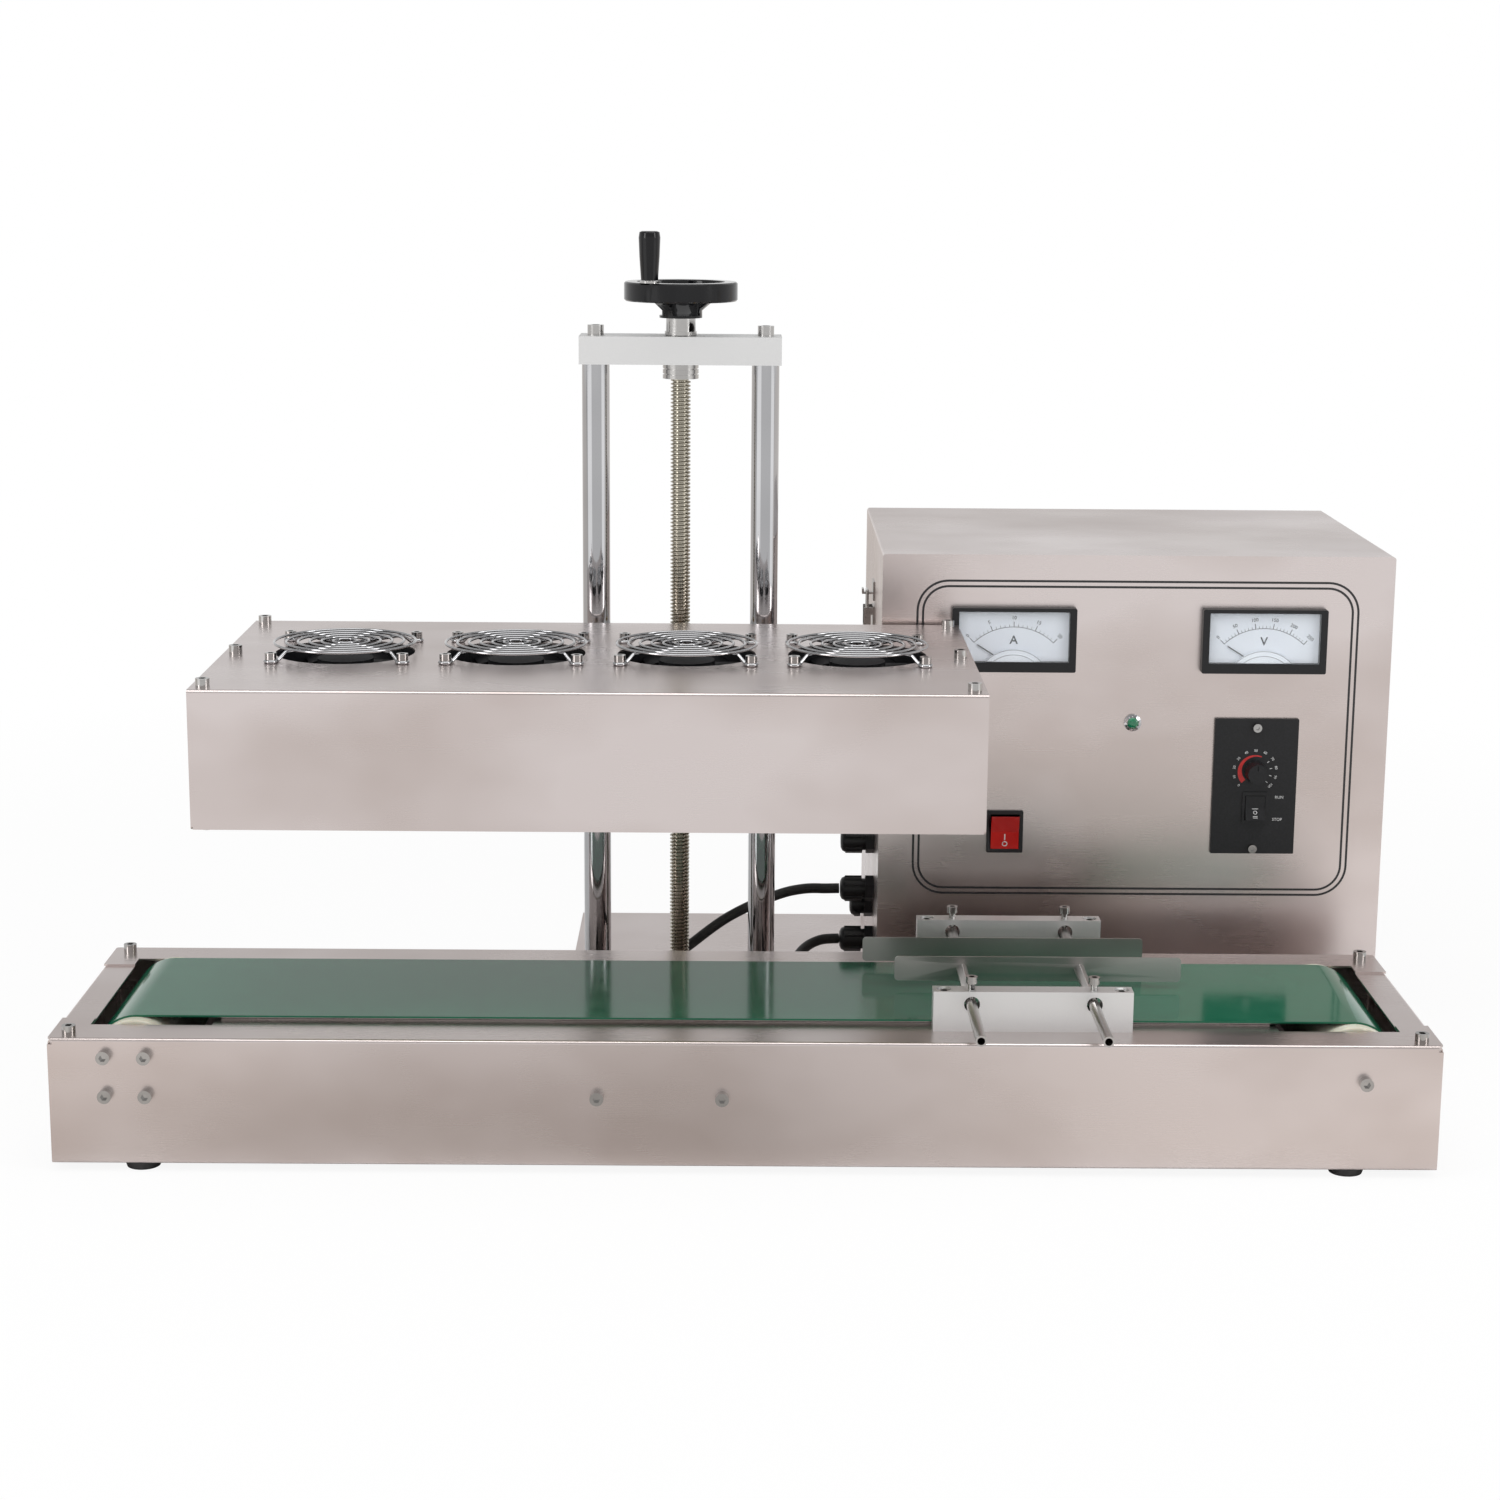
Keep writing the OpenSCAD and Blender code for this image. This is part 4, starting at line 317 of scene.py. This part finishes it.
def makeLeadScrew():
    s = leadScrew
    turns = int((s["high"] - s["low"]) / s["pitch"])
    start = place(s["x"], s["y"], s["low"])
    rise = s["pitch"] * mm
    # one pitch of the profile: root flat, flank, crest flat, flank
    profile = [(s["root"], 0.0), (s["root"], 0.3), (s["crest"], 0.5), (s["crest"], 0.8)]
    bpy.ops.mesh.primitive_plane_add(size=1, location=(0, 0, 0))
    thread = bpy.context.object
    bpy.ops.object.mode_set(mode="EDIT")
    bpy.ops.mesh.delete(type="VERT")
    bpy.ops.object.mode_set(mode="OBJECT")
    points = [Vector((r * mm, 0, share * rise)) for r, share in profile + [(s["root"], 1.0)]]
    thread.data.from_pydata(points, [(i, i + 1) for i in range(len(points) - 1)], [])
    applyModifier(thread, "SCREW", steps=s["steps"], render_steps=s["steps"],
                  iterations=turns, screw_offset=rise, use_merge_vertices=True,
                  merge_threshold=s["merge"], use_smooth_shade=False, use_normal_calculate=True)
    thread.location = start
    thread = settle(thread, "thread")
    # a core within the thread and a journal at each end, which run 1 mm into the thread
    rods = []
    for low, high, radius in ((s["low"], s["high"], s["root"] - 0.02),
                              (s["foot"], s["low"] + 1, s["journal"]),
                              (s["high"] - 1, s["top"], s["journal"])):
        middle = place(s["x"], s["y"], (low + high) / 2)
        bpy.ops.mesh.primitive_cylinder_add(vertices=48, radius=radius * mm,
                                            depth=(high - low) * mm, location=middle)
        rod = bpy.context.object
        applyModifier(rod, "BEVEL", width=s["cornerWidth"], segments=2, limit_method="ANGLE")
        rods.append(rod)
    screw = joinAll([thread] + rods, "leadScrewThread")
    pick(screw)
    bpy.ops.object.shade_smooth_by_angle(angle=math.radians(s["smoothAngle"]))
    finishPiece(screw, finishes["lead_screw"], "screw")
    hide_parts("lead_screw")


makeLeadScrew()
print("lead screw threaded")

# printed marks, and the painted shade lines round the pivot covers, are thin solids on the faces of
# the panels
inkDepth = 0.10


def upright(turn, lean):
    # the rotation of a flat thing that faces the front, turned clockwise and leaned by degrees
    return (quarterTurn + math.radians(lean), math.radians(turn), 0)


def bar(x, y, z, wide, high, turn=0.0, lean=0.0):
    bpy.ops.mesh.primitive_plane_add(size=1, location=place(x, y, z),
                                     rotation=upright(turn, lean))
    piece = bpy.context.object
    piece.scale = (wide * mm, high * mm, 1)
    bpy.ops.object.transform_apply(location=True, rotation=True, scale=True)
    return piece


def word(text, x, y, z, size, turn=0.0, lean=0.0, bolder=0.0):
    bpy.ops.object.text_add(location=place(x, y, z), rotation=upright(turn, lean))
    piece = bpy.context.object
    piece.data.offset = bolder * mm
    piece.data.body = text
    piece.data.size = size * mm
    piece.data.align_x = "CENTER"
    piece.data.align_y = "CENTER"
    piece.data.resolution_u = 3
    bpy.ops.object.convert(target="MESH")
    bpy.ops.object.transform_apply(location=True, rotation=True, scale=True)
    return bpy.context.object


def arcStrip(x, y, z, inner0, inner1, outer0, outer1, start, end, steps=40):
    # a flat band round (x, z), its radii running from one end to the other; 0 degrees is up
    vertices, faces = [], []
    for i in range(steps + 1):
        share = i / steps
        angle = math.radians(start + (end - start) * share)
        for r in (inner0 + (inner1 - inner0) * share, outer0 + (outer1 - outer0) * share):
            vertices.append(place(x + r * math.sin(angle), y, z + r * math.cos(angle)))
        if i:
            k = 2 * i
            faces.append((k - 2, k, k + 1, k - 1))
    mesh = bpy.data.meshes.new("band")
    mesh.from_pydata(vertices, [], faces)
    piece = bpy.data.objects.new("band", mesh)
    bpy.context.scene.collection.objects.link(piece)
    return piece


def printInkAndShade(things, name, ink, body, depth=inkDepth):
    marks = joinAll(things, name)
    pick(marks)
    bpy.ops.object.mode_set(mode="EDIT")
    bpy.ops.mesh.select_all(action="SELECT")
    bpy.ops.mesh.normals_make_consistent(inside=False)
    bpy.ops.object.mode_set(mode="OBJECT")
    applyModifier(marks, "SOLIDIFY", thickness=depth * mm, offset=0)
    finishPiece(marks, ink, body)


# double line round the front of the cabinet
border = dict(left=135.5, right=491.6, low=128.7, high=388.7, corner=25.7, line=1.8, gap=4.5,
              face=312.0)


def makeBorder():
    b = border
    rings = []
    for inset in (0, b["gap"]):
        wide = b["right"] - b["left"] - 2 * inset
        high = b["high"] - b["low"] - 2 * inset
        ring = bar((b["left"] + b["right"]) / 2, b["face"], (b["low"] + b["high"]) / 2, wide, high)
        bpy.ops.object.mode_set(mode="EDIT")
        bpy.ops.mesh.select_all(action="SELECT")
        bpy.ops.mesh.bevel(offset=(b["corner"] - inset) * mm, segments=12, affect="VERTICES")
        bpy.ops.mesh.select_all(action="SELECT")
        bpy.ops.mesh.inset(thickness=b["line"] * mm)
        bpy.ops.mesh.delete(type="FACE")
        bpy.ops.object.mode_set(mode="OBJECT")
        rings.append(ring)
    printInkAndShade(rings, "frontBorder", blackInk, "root")


makeBorder()
print("border printed")

# panel meters: a dial sheet on the floor of the housing, a cover over the pivot and a window
meter = dict(places=(213.8, 415.0), z=341, windowUp=2.5, windowWide=89, windowHigh=41, front=303,
             floor=308)
dial = dict(sheet=0.3, sheetOut=0.2, markOut=0.37, inset=0.6, corner=0.00008, markDepth=0.06,
            arcDrop=36, arcRadius=46, arcLine=0.45, arcEnd=43.6, ticksPerNumber=5,
            longTick=dict(wide=0.6, high=4.6), shortTick=dict(wide=0.36, high=2.4),
            numberOut=7.6, numberSize=4.0, numberBold=0.06, letterDown=3.0, letterSize=9.5,
            letterBold=0.2)
# two discs, one on the other, cut off level above the window's lower edge
pivotCover = dict(discs=(dict(radius=31, rise=10.4, front=304.9, back=306.2),
                         dict(radius=27, rise=6.6, front=304.0, back=305.2)),
                  cutUp=0.3, corner=0.0004, cornerAngle=40, smoothAngle=30, rimInset=0.25,
                  rimWide=0.4, rimCut=0.6, rimOut=0.02, rimDepth=0.04)
meterWindow = dict(thick=0.6, back=0.5, inset=0.4, corner=0.0001)


def makeSheet(name, x, y, z, wide, thick, high, corner, material):
    bpy.ops.mesh.primitive_cube_add(size=1, location=place(x, y, z))
    sheet = bpy.context.object
    sheet.scale = (wide * mm, thick * mm, high * mm)
    sheet = settle(sheet, name)
    applyModifier(sheet, "BEVEL", width=corner, segments=1)
    finishPiece(sheet, material, "root")


def makeDial(x, middle, name, letter, labels):
    m, d = meter, dial
    makeSheet(name + "Dial", x, m["floor"] - d["sheetOut"], middle, m["windowWide"] - d["inset"],
              d["sheet"], m["windowHigh"] - d["inset"], d["corner"], dialPaper)
    face = m["floor"] - d["markOut"]
    scaleZ = m["z"] - d["arcDrop"]
    radius = d["arcRadius"]
    marks = [arcStrip(x, face, scaleZ, radius, radius, radius + d["arcLine"], radius + d["arcLine"],
                      -d["arcEnd"], d["arcEnd"])]

    def onArc(out, turn):
        return x + (radius + out) * math.sin(turn), face, scaleZ + (radius + out) * math.cos(turn)

    count = (len(labels) - 1) * d["ticksPerNumber"]
    for i in range(count + 1):
        angle = -d["arcEnd"] + 2 * d["arcEnd"] * i / count
        turn = math.radians(angle)
        numbered = i % d["ticksPerNumber"] == 0
        tick = d["longTick"] if numbered else d["shortTick"]
        marks.append(bar(*onArc(tick["high"] / 2, turn), tick["wide"], tick["high"], angle))
        if numbered:
            marks.append(word(labels[i // d["ticksPerNumber"]], *onArc(d["numberOut"], turn),
                              d["numberSize"], angle, bolder=d["numberBold"]))
    marks.append(word(letter, x, face, middle - d["letterDown"], d["letterSize"],
                      bolder=d["letterBold"]))
    printInkAndShade(marks, name + "Marks", blackInk, "root", d["markDepth"])


def makePivotCover(x, low, name):
    c = pivotCover
    discs, edgeShades = [], []
    for size in c["discs"]:
        radius, front = size["radius"], size["front"]
        bpy.ops.mesh.primitive_cylinder_add(
            vertices=96, radius=radius * mm, depth=(size["back"] - front) * mm,
            location=place(x, (front + size["back"]) / 2, low + size["rise"] - radius),
            rotation=(quarterTurn, 0, 0))
        disc = bpy.context.object
        bpy.ops.object.transform_apply(location=True, rotation=True, scale=True)
        bpy.ops.object.mode_set(mode="EDIT")
        bpy.ops.mesh.select_all(action="SELECT")
        bpy.ops.mesh.bisect(plane_co=place(x, front, low + c["cutUp"]), plane_no=(0, 0, 1),
                            use_fill=True, clear_inner=True)
        bpy.ops.object.mode_set(mode="OBJECT")
        applyModifier(disc, "BEVEL", width=c["corner"], segments=2, limit_method="ANGLE",
                      angle_limit=math.radians(c["cornerAngle"]))
        discs.append(disc)
        # painted shade: a grey line just inside the disc's edge, standing for the shade along its
        # raised edge
        outer = radius - c["rimInset"]
        inner = outer - c["rimWide"]
        half = math.degrees(math.acos((outer - size["rise"] + c["rimCut"]) / outer))
        edgeShades.append(arcStrip(x, front - c["rimOut"], low + size["rise"] - radius, inner, inner,
                             outer, outer, -half, half))
    printInkAndShade(edgeShades, name + "EdgeShades", paintedEdgeShade, "root", c["rimDepth"])
    cover = joinAll(discs, name + "Cover")
    bpy.ops.object.shade_smooth_by_angle(angle=math.radians(c["smoothAngle"]))
    finishPiece(cover, coverWhite, "root")


def makeMeter(index, name, letter, labels):
    m, w = meter, meterWindow
    x = m["places"][index]
    middle = m["z"] + m["windowUp"]
    makeDial(x, middle, name, letter, labels)
    makePivotCover(x, middle - m["windowHigh"] / 2, name)
    makeSheet(name + "Window", x, m["front"] + w["back"], middle, m["windowWide"] - w["inset"],
              w["thick"], m["windowHigh"] - w["inset"], w["corner"], clearWindow)


makeMeter(0, "ammeter", "A", ("0", "5", "10", "15", "20"))
makeMeter(1, "voltmeter", "V", ("0", "50", "100", "150", "200", "250"))
print("meters faced")

# speed unit: red wedge, ticks and numbers round the knob, words beside the rocker
speedUnit = dict(x=412.7, face=309.0, out=0.03, knobZ=233.6, sweep=132, numbers=11,
                 wedge=dict(inner0=10.2, inner1=12.6, outer0=14.4, outer1=13.4, end=22),
                 firstTick=7, tickRadius=13, tickWide=0.5, tickHigh=2.0, numberRadius=17.2,
                 numberSize=3.0, wordSize=3.4)
speedWords = (("RUN", 20.5, -21.5), ("STOP", 19.5, -40))


def makeSpeedMarks():
    s = speedUnit
    face = s["face"] - s["out"]

    def aroundKnob(radius, angle):
        turn = math.radians(angle)
        return s["x"] + radius * math.sin(turn), face, s["knobZ"] + radius * math.cos(turn)

    wedge = arcStrip(s["x"], face, s["knobZ"], start=-s["sweep"], **s["wedge"])
    printInkAndShade([wedge], "speedWedge", redInk, "root")
    marks = []
    last = s["numbers"] - 1
    for i in range(s["numbers"]):
        angle = -s["sweep"] + 2 * s["sweep"] * i / last
        if i >= s["firstTick"]:
            spot = aroundKnob(s["tickRadius"], angle)
            marks.append(bar(*spot, s["tickWide"], s["tickHigh"], angle))
        spot = aroundKnob(s["numberRadius"], angle)
        marks.append(word(str(10 * i), *spot, s["numberSize"], angle))
    for text, right, up in speedWords:
        marks.append(word(text, s["x"] + right, face, s["knobZ"] + up, s["wordSize"]))
    printInkAndShade(marks, "speedMarks", whiteInk, "root")


makeSpeedMarks()
print("speed unit printed")

# marks on the two rocker keys, whose faces are shallow valleys
# at is the place of a mark, as a share of the half height
rockers = {
    "power_rocker": dict(marks="powerRockerMarks", x=210.9, y=309.5, z=181.8, tilt=9, half=14.1,
                         bars=(dict(at=-0.3, wide=0.9, high=5.0),),
                         ring=dict(at=-0.72, size=6.0, bolder=0.1)),
    "run_rocker": dict(marks="runRockerMarks", x=413.7, y=307.75, z=203.3, tilt=-9, half=9.9,
                       bars=(dict(at=-0.06, wide=5.0, high=0.5),
                             dict(at=-0.68, wide=3.8, high=0.5),
                             dict(at=-0.80, wide=3.8, high=0.5)),
                       ring=dict(at=-0.38, size=4.4, bolder=0.05)),
}
rockerFace = dict(valley=0.44, lift=2.2, proud=0.03, markDepth=0.05)


def onRocker(rocker, share):
    # place and lean of the face at a share of the half height, up or down
    along = share * rocker["half"]
    slope = (rockerFace["lift"] - rockerFace["valley"]) / rocker["half"]
    out = -rockerFace["valley"] - abs(along) * slope - rockerFace["proud"]
    tilt = math.radians(rocker["tilt"])
    return dict(y=rocker["y"] + out * math.cos(tilt) - along * math.sin(tilt),
                z=rocker["z"] + out * math.sin(tilt) + along * math.cos(tilt),
                lean=rocker["tilt"] + math.copysign(math.degrees(math.atan(slope)), share))


def makeRockerMarks():
    for body, rocker in rockers.items():
        things = []
        for line in rocker["bars"]:
            things.append(bar(rocker["x"], wide=line["wide"], high=line["high"],
                              **onRocker(rocker, line["at"])))
        ring = rocker["ring"]
        things.append(word("O", rocker["x"], size=ring["size"], bolder=ring["bolder"],
                           **onRocker(rocker, ring["at"])))
        printInkAndShade(things, rocker["marks"], whiteInk, body,
                   rockerFace["markDepth"])


makeRockerMarks()
print("rockers marked")

# leads between the cabinet and the conveyor: points along the middle of each
leads = {
    "leadUpper": [(79, 384, 114), (66, 383, 114), (53, 379, 115), (36, 372, 114), (18, 363, 110),
                  (0, 355, 104), (-17, 349, 96), (-33, 346, 85), (-47, 345, 74), (-61, 343, 65),
                  (-74, 335, 60), (-84, 322, 59), (-93, 308, 60), (-105, 297, 61), (-118, 288, 62),
                  (-128, 277, 62), (-131, 264, 62), (-131, 251, 62)],
    "leadLower": [(79, 384, 70), (66, 381, 70), (55, 373, 68), (47, 360, 65), (42, 344, 62),
                  (39, 327, 60), (37, 309, 60), (36, 290, 61), (36, 272, 62), (36, 251, 62)],
}
leadShape = dict(width=8.5, sides=5, steps=8)


def halved(points):
    # one more point between each two, on the same smooth curve
    ends = [points[0] * 2 - points[1]] + points + [points[-1] * 2 - points[-2]]
    finer = []
    for a, b, c, d in zip(ends, ends[1:], ends[2:], ends[3:]):
        finer += [b, (b + c) * 9 / 16 - (a + d) / 16]
    return finer + [points[-1]]


def makeLead(name, route):
    points = halved([place(*point) for point in route])
    bpy.ops.curve.primitive_bezier_curve_add(location=(0, 0, 0))
    lead = bpy.context.object
    lead.name = name
    curve = lead.data
    curve.splines.clear()
    spline = curve.splines.new("BEZIER")
    spline.bezier_points.add(len(points) - 1)
    for knot, point in zip(spline.bezier_points, points):
        knot.co = point
        knot.handle_left_type = "AUTO"
        knot.handle_right_type = "AUTO"
    curve.bevel_depth = leadShape["width"] / 2 * mm
    curve.bevel_resolution = leadShape["sides"]
    curve.resolution_u = leadShape["steps"]
    curve.use_fill_caps = True
    finishPiece(lead, finishes["rubber_black"], "root")
    return lead


leadPieces = [makeLead(leadName, route) for leadName, route in leads.items()]
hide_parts("motor_leads")
print("leads laid")

# the floor and the air are white to the camera; metal sees painted reflections in them: the floor
# glows, for glossy rays only, with softbox strips and dark corners
# fade: where the paper turns to plain white, and keep: its share of white before that
# front: the machine's front edge, and edge, apron and behind: where metal's own floor sets in
stageLook = dict(floorSize=14.0, shade=0.9, fade=(0.7, 1.7), keep=0.9, front=-0.28,
                 edge=(0.0, 0.05), apron=(0.15, 0.75), behind=(0.9, 1.5),
                 warm=(1, 0.955, 0.915), softAir=0.5)
# brightness of the painted glow on the near floor, which only metal sees, from left to right, in
# metres
apronGlow = [(-0.6, 0.85), (-0.35, 0.64), (0, 0.53), (0.3, 0.86), (0.6, 0.95)]
# brightness of the painted glow on the far floor, which only metal sees, by direction, in degrees
# to the right of straight ahead
floorGlow = [(-180, 0.8), (-165, 0.8), (-150, 0.35), (-80, 0.35), (-70, 1.5), (-38, 1.5),
             (-33, 0.92), (0, 0.92), (47, 0.92), (52, 1.5), (76, 1.5), (84, 0.35), (150, 0.35),
             (165, 0.8), (180, 0.8)]
# brightness of the air by height
skyGlow = [(0.0, 0.98), (0.11, 0.94), (0.26, 0.66), (0.5, 0.6), (0.75, 0.42), (1.0, 0.35)]


def levels(tree, value, stops, low, high):
    # a brightness that runs through the stops as the value goes from low to high
    top = max(level for _, level in stops)
    places = [((at - low) / (high - low), (level / top,) * 3) for at, level in stops]
    ramp = rampNode(tree, rangeNode(tree, value, low, high), places)
    return mathNode(tree, "MULTIPLY", ramp, top)


def mixShaders(tree, share, first, second):
    node = tree.nodes.new("ShaderNodeMixShader")
    for socket, value in zip(node.inputs, (share, first, second)):
        feed(tree, socket, value)
    return node.outputs[0]


def makeFloor():
    look = stageLook
    bpy.ops.mesh.primitive_plane_add(size=look["floorSize"], location=(0, 0, 0))
    floor = bpy.context.object
    floor.name = "floor"
    paper = bpy.data.materials.new("floorPaper")
    paper.use_nodes = True
    tree = paper.node_tree
    tree.nodes.clear()
    level = look["shade"]
    ray = tree.nodes.new("ShaderNodeLightPath")
    coords = tree.nodes.new("ShaderNodeTexCoord")
    spot = addNode(tree, "ShaderNodeSeparateXYZ", Vector=coords.outputs["Object"])
    across, along = spot.outputs["X"], spot.outputs["Y"]
    squares = mathNode(tree, "ADD", mathNode(tree, "MULTIPLY", across, across),
                       mathNode(tree, "MULTIPLY", along, along))
    reach = mathNode(tree, "SQRT", squares, 0.0)
    # the camera sees paper with a faint shadow near the machine, and plain white beyond
    diffuse = addNode(tree, "ShaderNodeBsdfDiffuse", Color=(level, level, level, 1))
    white = addNode(tree, "ShaderNodeEmission", Color=(1, 1, 1, 1), Strength=1.0)
    seen = mathNode(tree, "MAXIMUM", ray.outputs["Is Camera Ray"],
                    ray.outputs["Is Transmission Ray"])
    share = rangeNode(tree, reach, *look["fade"], look["keep"], 1.0)
    paperSide = mixShaders(tree, mathNode(tree, "MULTIPLY", seen, share), diffuse.outputs[0],
                           white.outputs[0])
    # painted reflections: metal sees the far floor's glow by direction, and a duller apron glow
    # before the middle of the machine
    facing = mathNode(tree, "ARCTAN2", across, mathNode(tree, "MULTIPLY", along, -1.0))
    turn = mathNode(tree, "MULTIPLY", facing, math.degrees(1))
    farGlow = levels(tree, turn, floorGlow, -180, 180)
    ahead = mathNode(tree, "SUBTRACT", look["front"], along)
    nearGlow = levels(tree, across, apronGlow, apronGlow[0][0], apronGlow[-1][0])
    away = rangeNode(tree, ahead, *look["apron"])
    glow = mathNode(tree, "ADD", mathNode(tree, "MULTIPLY", farGlow, away),
                    mathNode(tree, "MULTIPLY", nearGlow, mathNode(tree, "SUBTRACT", 1.0, away)))
    # painted reflection: the floor glows in this colour and brightness, for glossy rays only
    hue = rampNode(tree, away, [(0, look["warm"]), (1, (1, 1, 1))])
    beside = addNode(tree, "ShaderNodeEmission", Color=hue, Strength=glow)
    inFront = rangeNode(tree, ahead, *look["edge"])
    behind = rangeNode(tree, reach, *look["behind"])
    far = mathNode(tree, "MULTIPLY", ray.outputs["Is Glossy Ray"],
                   mathNode(tree, "MAXIMUM", inFront, behind))
    output = tree.nodes.new("ShaderNodeOutputMaterial")
    feed(tree, output.inputs["Surface"], mixShaders(tree, far, paperSide, beside.outputs[0]))
    floor.data.materials.append(paper)


def makeWorld():
    world = bpy.data.worlds.new("studio")
    bpy.context.scene.world = world
    world.use_nodes = True
    tree = world.node_tree
    tree.nodes.clear()
    white = addNode(tree, "ShaderNodeBackground", Color=(1, 1, 1, 1), Strength=1.0)
    soft = addNode(tree, "ShaderNodeBackground", Color=(1, 1, 1, 1),
                   Strength=stageLook["softAir"])
    ray = tree.nodes.new("ShaderNodeLightPath")
    coords = tree.nodes.new("ShaderNodeTexCoord")
    way = addNode(tree, "ShaderNodeSeparateXYZ", Vector=coords.outputs["Generated"])
    sky = addNode(tree, "ShaderNodeBackground", Color=(1, 1, 1, 1),
                  Strength=levels(tree, way.outputs["Z"], skyGlow, 0, 1))
    seen = mathNode(tree, "MAXIMUM", ray.outputs["Is Camera Ray"],
                    ray.outputs["Is Transmission Ray"])
    lit = mixShaders(tree, ray.outputs["Is Glossy Ray"], soft.outputs[0], sky.outputs[0])
    output = tree.nodes.new("ShaderNodeOutputWorld")
    feed(tree, output.inputs["Surface"], mixShaders(tree, seen, lit, white.outputs[0]))


# soft lights above and to both sides, in metres
softboxes = [
    dict(name="overhead", at=(0.1, -0.5, 2.3), aim=(0, 0, 0.2), wide=2.4, high=1.6, watts=26),
    dict(name="leftBox", at=(-2.0, -1.5, 1.3), aim=(0, 0, 0.3), wide=0.7, high=1.6, watts=16),
    dict(name="rightBox", at=(2.1, -1.1, 1.3), aim=(0, 0, 0.3), wide=0.5, high=1.6, watts=12),
]


def makeLights():
    for box in softboxes:
        bpy.ops.object.light_add(type="AREA", location=box["at"])
        light = bpy.context.object
        light.name = box["name"]
        light.data.shape = "RECTANGLE"
        light.data.size = box["wide"]
        light.data.size_y = box["high"]
        light.data.energy = box["watts"]
        towards = Vector(box["aim"]) - Vector(box["at"])
        light.rotation_euler = towards.to_track_quat("-Z", "Y").to_euler()


# the camera as solved from the photo, in metres and degrees
view = dict(at=(-0.01756, -2.25061, 0.72990), yaw=-0.270, pitch=-11.920, roll=-0.422,
            lens=69.05, sensor=36)


def makeCamera():
    bpy.ops.object.camera_add(location=view["at"])
    camera = bpy.context.object
    camera.name = "camera"
    camera.data.lens = view["lens"]
    camera.data.sensor_width = view["sensor"]
    turn = (Matrix.Rotation(math.radians(view["yaw"]), 4, "Z")
            @ Matrix.Rotation(math.radians(view["pitch"]), 4, "X")
            @ Matrix.Rotation(math.radians(view["roll"]), 4, "Y")
            @ Matrix.Rotation(quarterTurn, 4, "X"))
    camera.rotation_euler = turn.to_euler()
    bpy.context.scene.camera = camera


makeFloor()
makeWorld()
makeLights()
makeCamera()
bpy.context.scene.view_settings.view_transform = "Standard"
print("stage set")
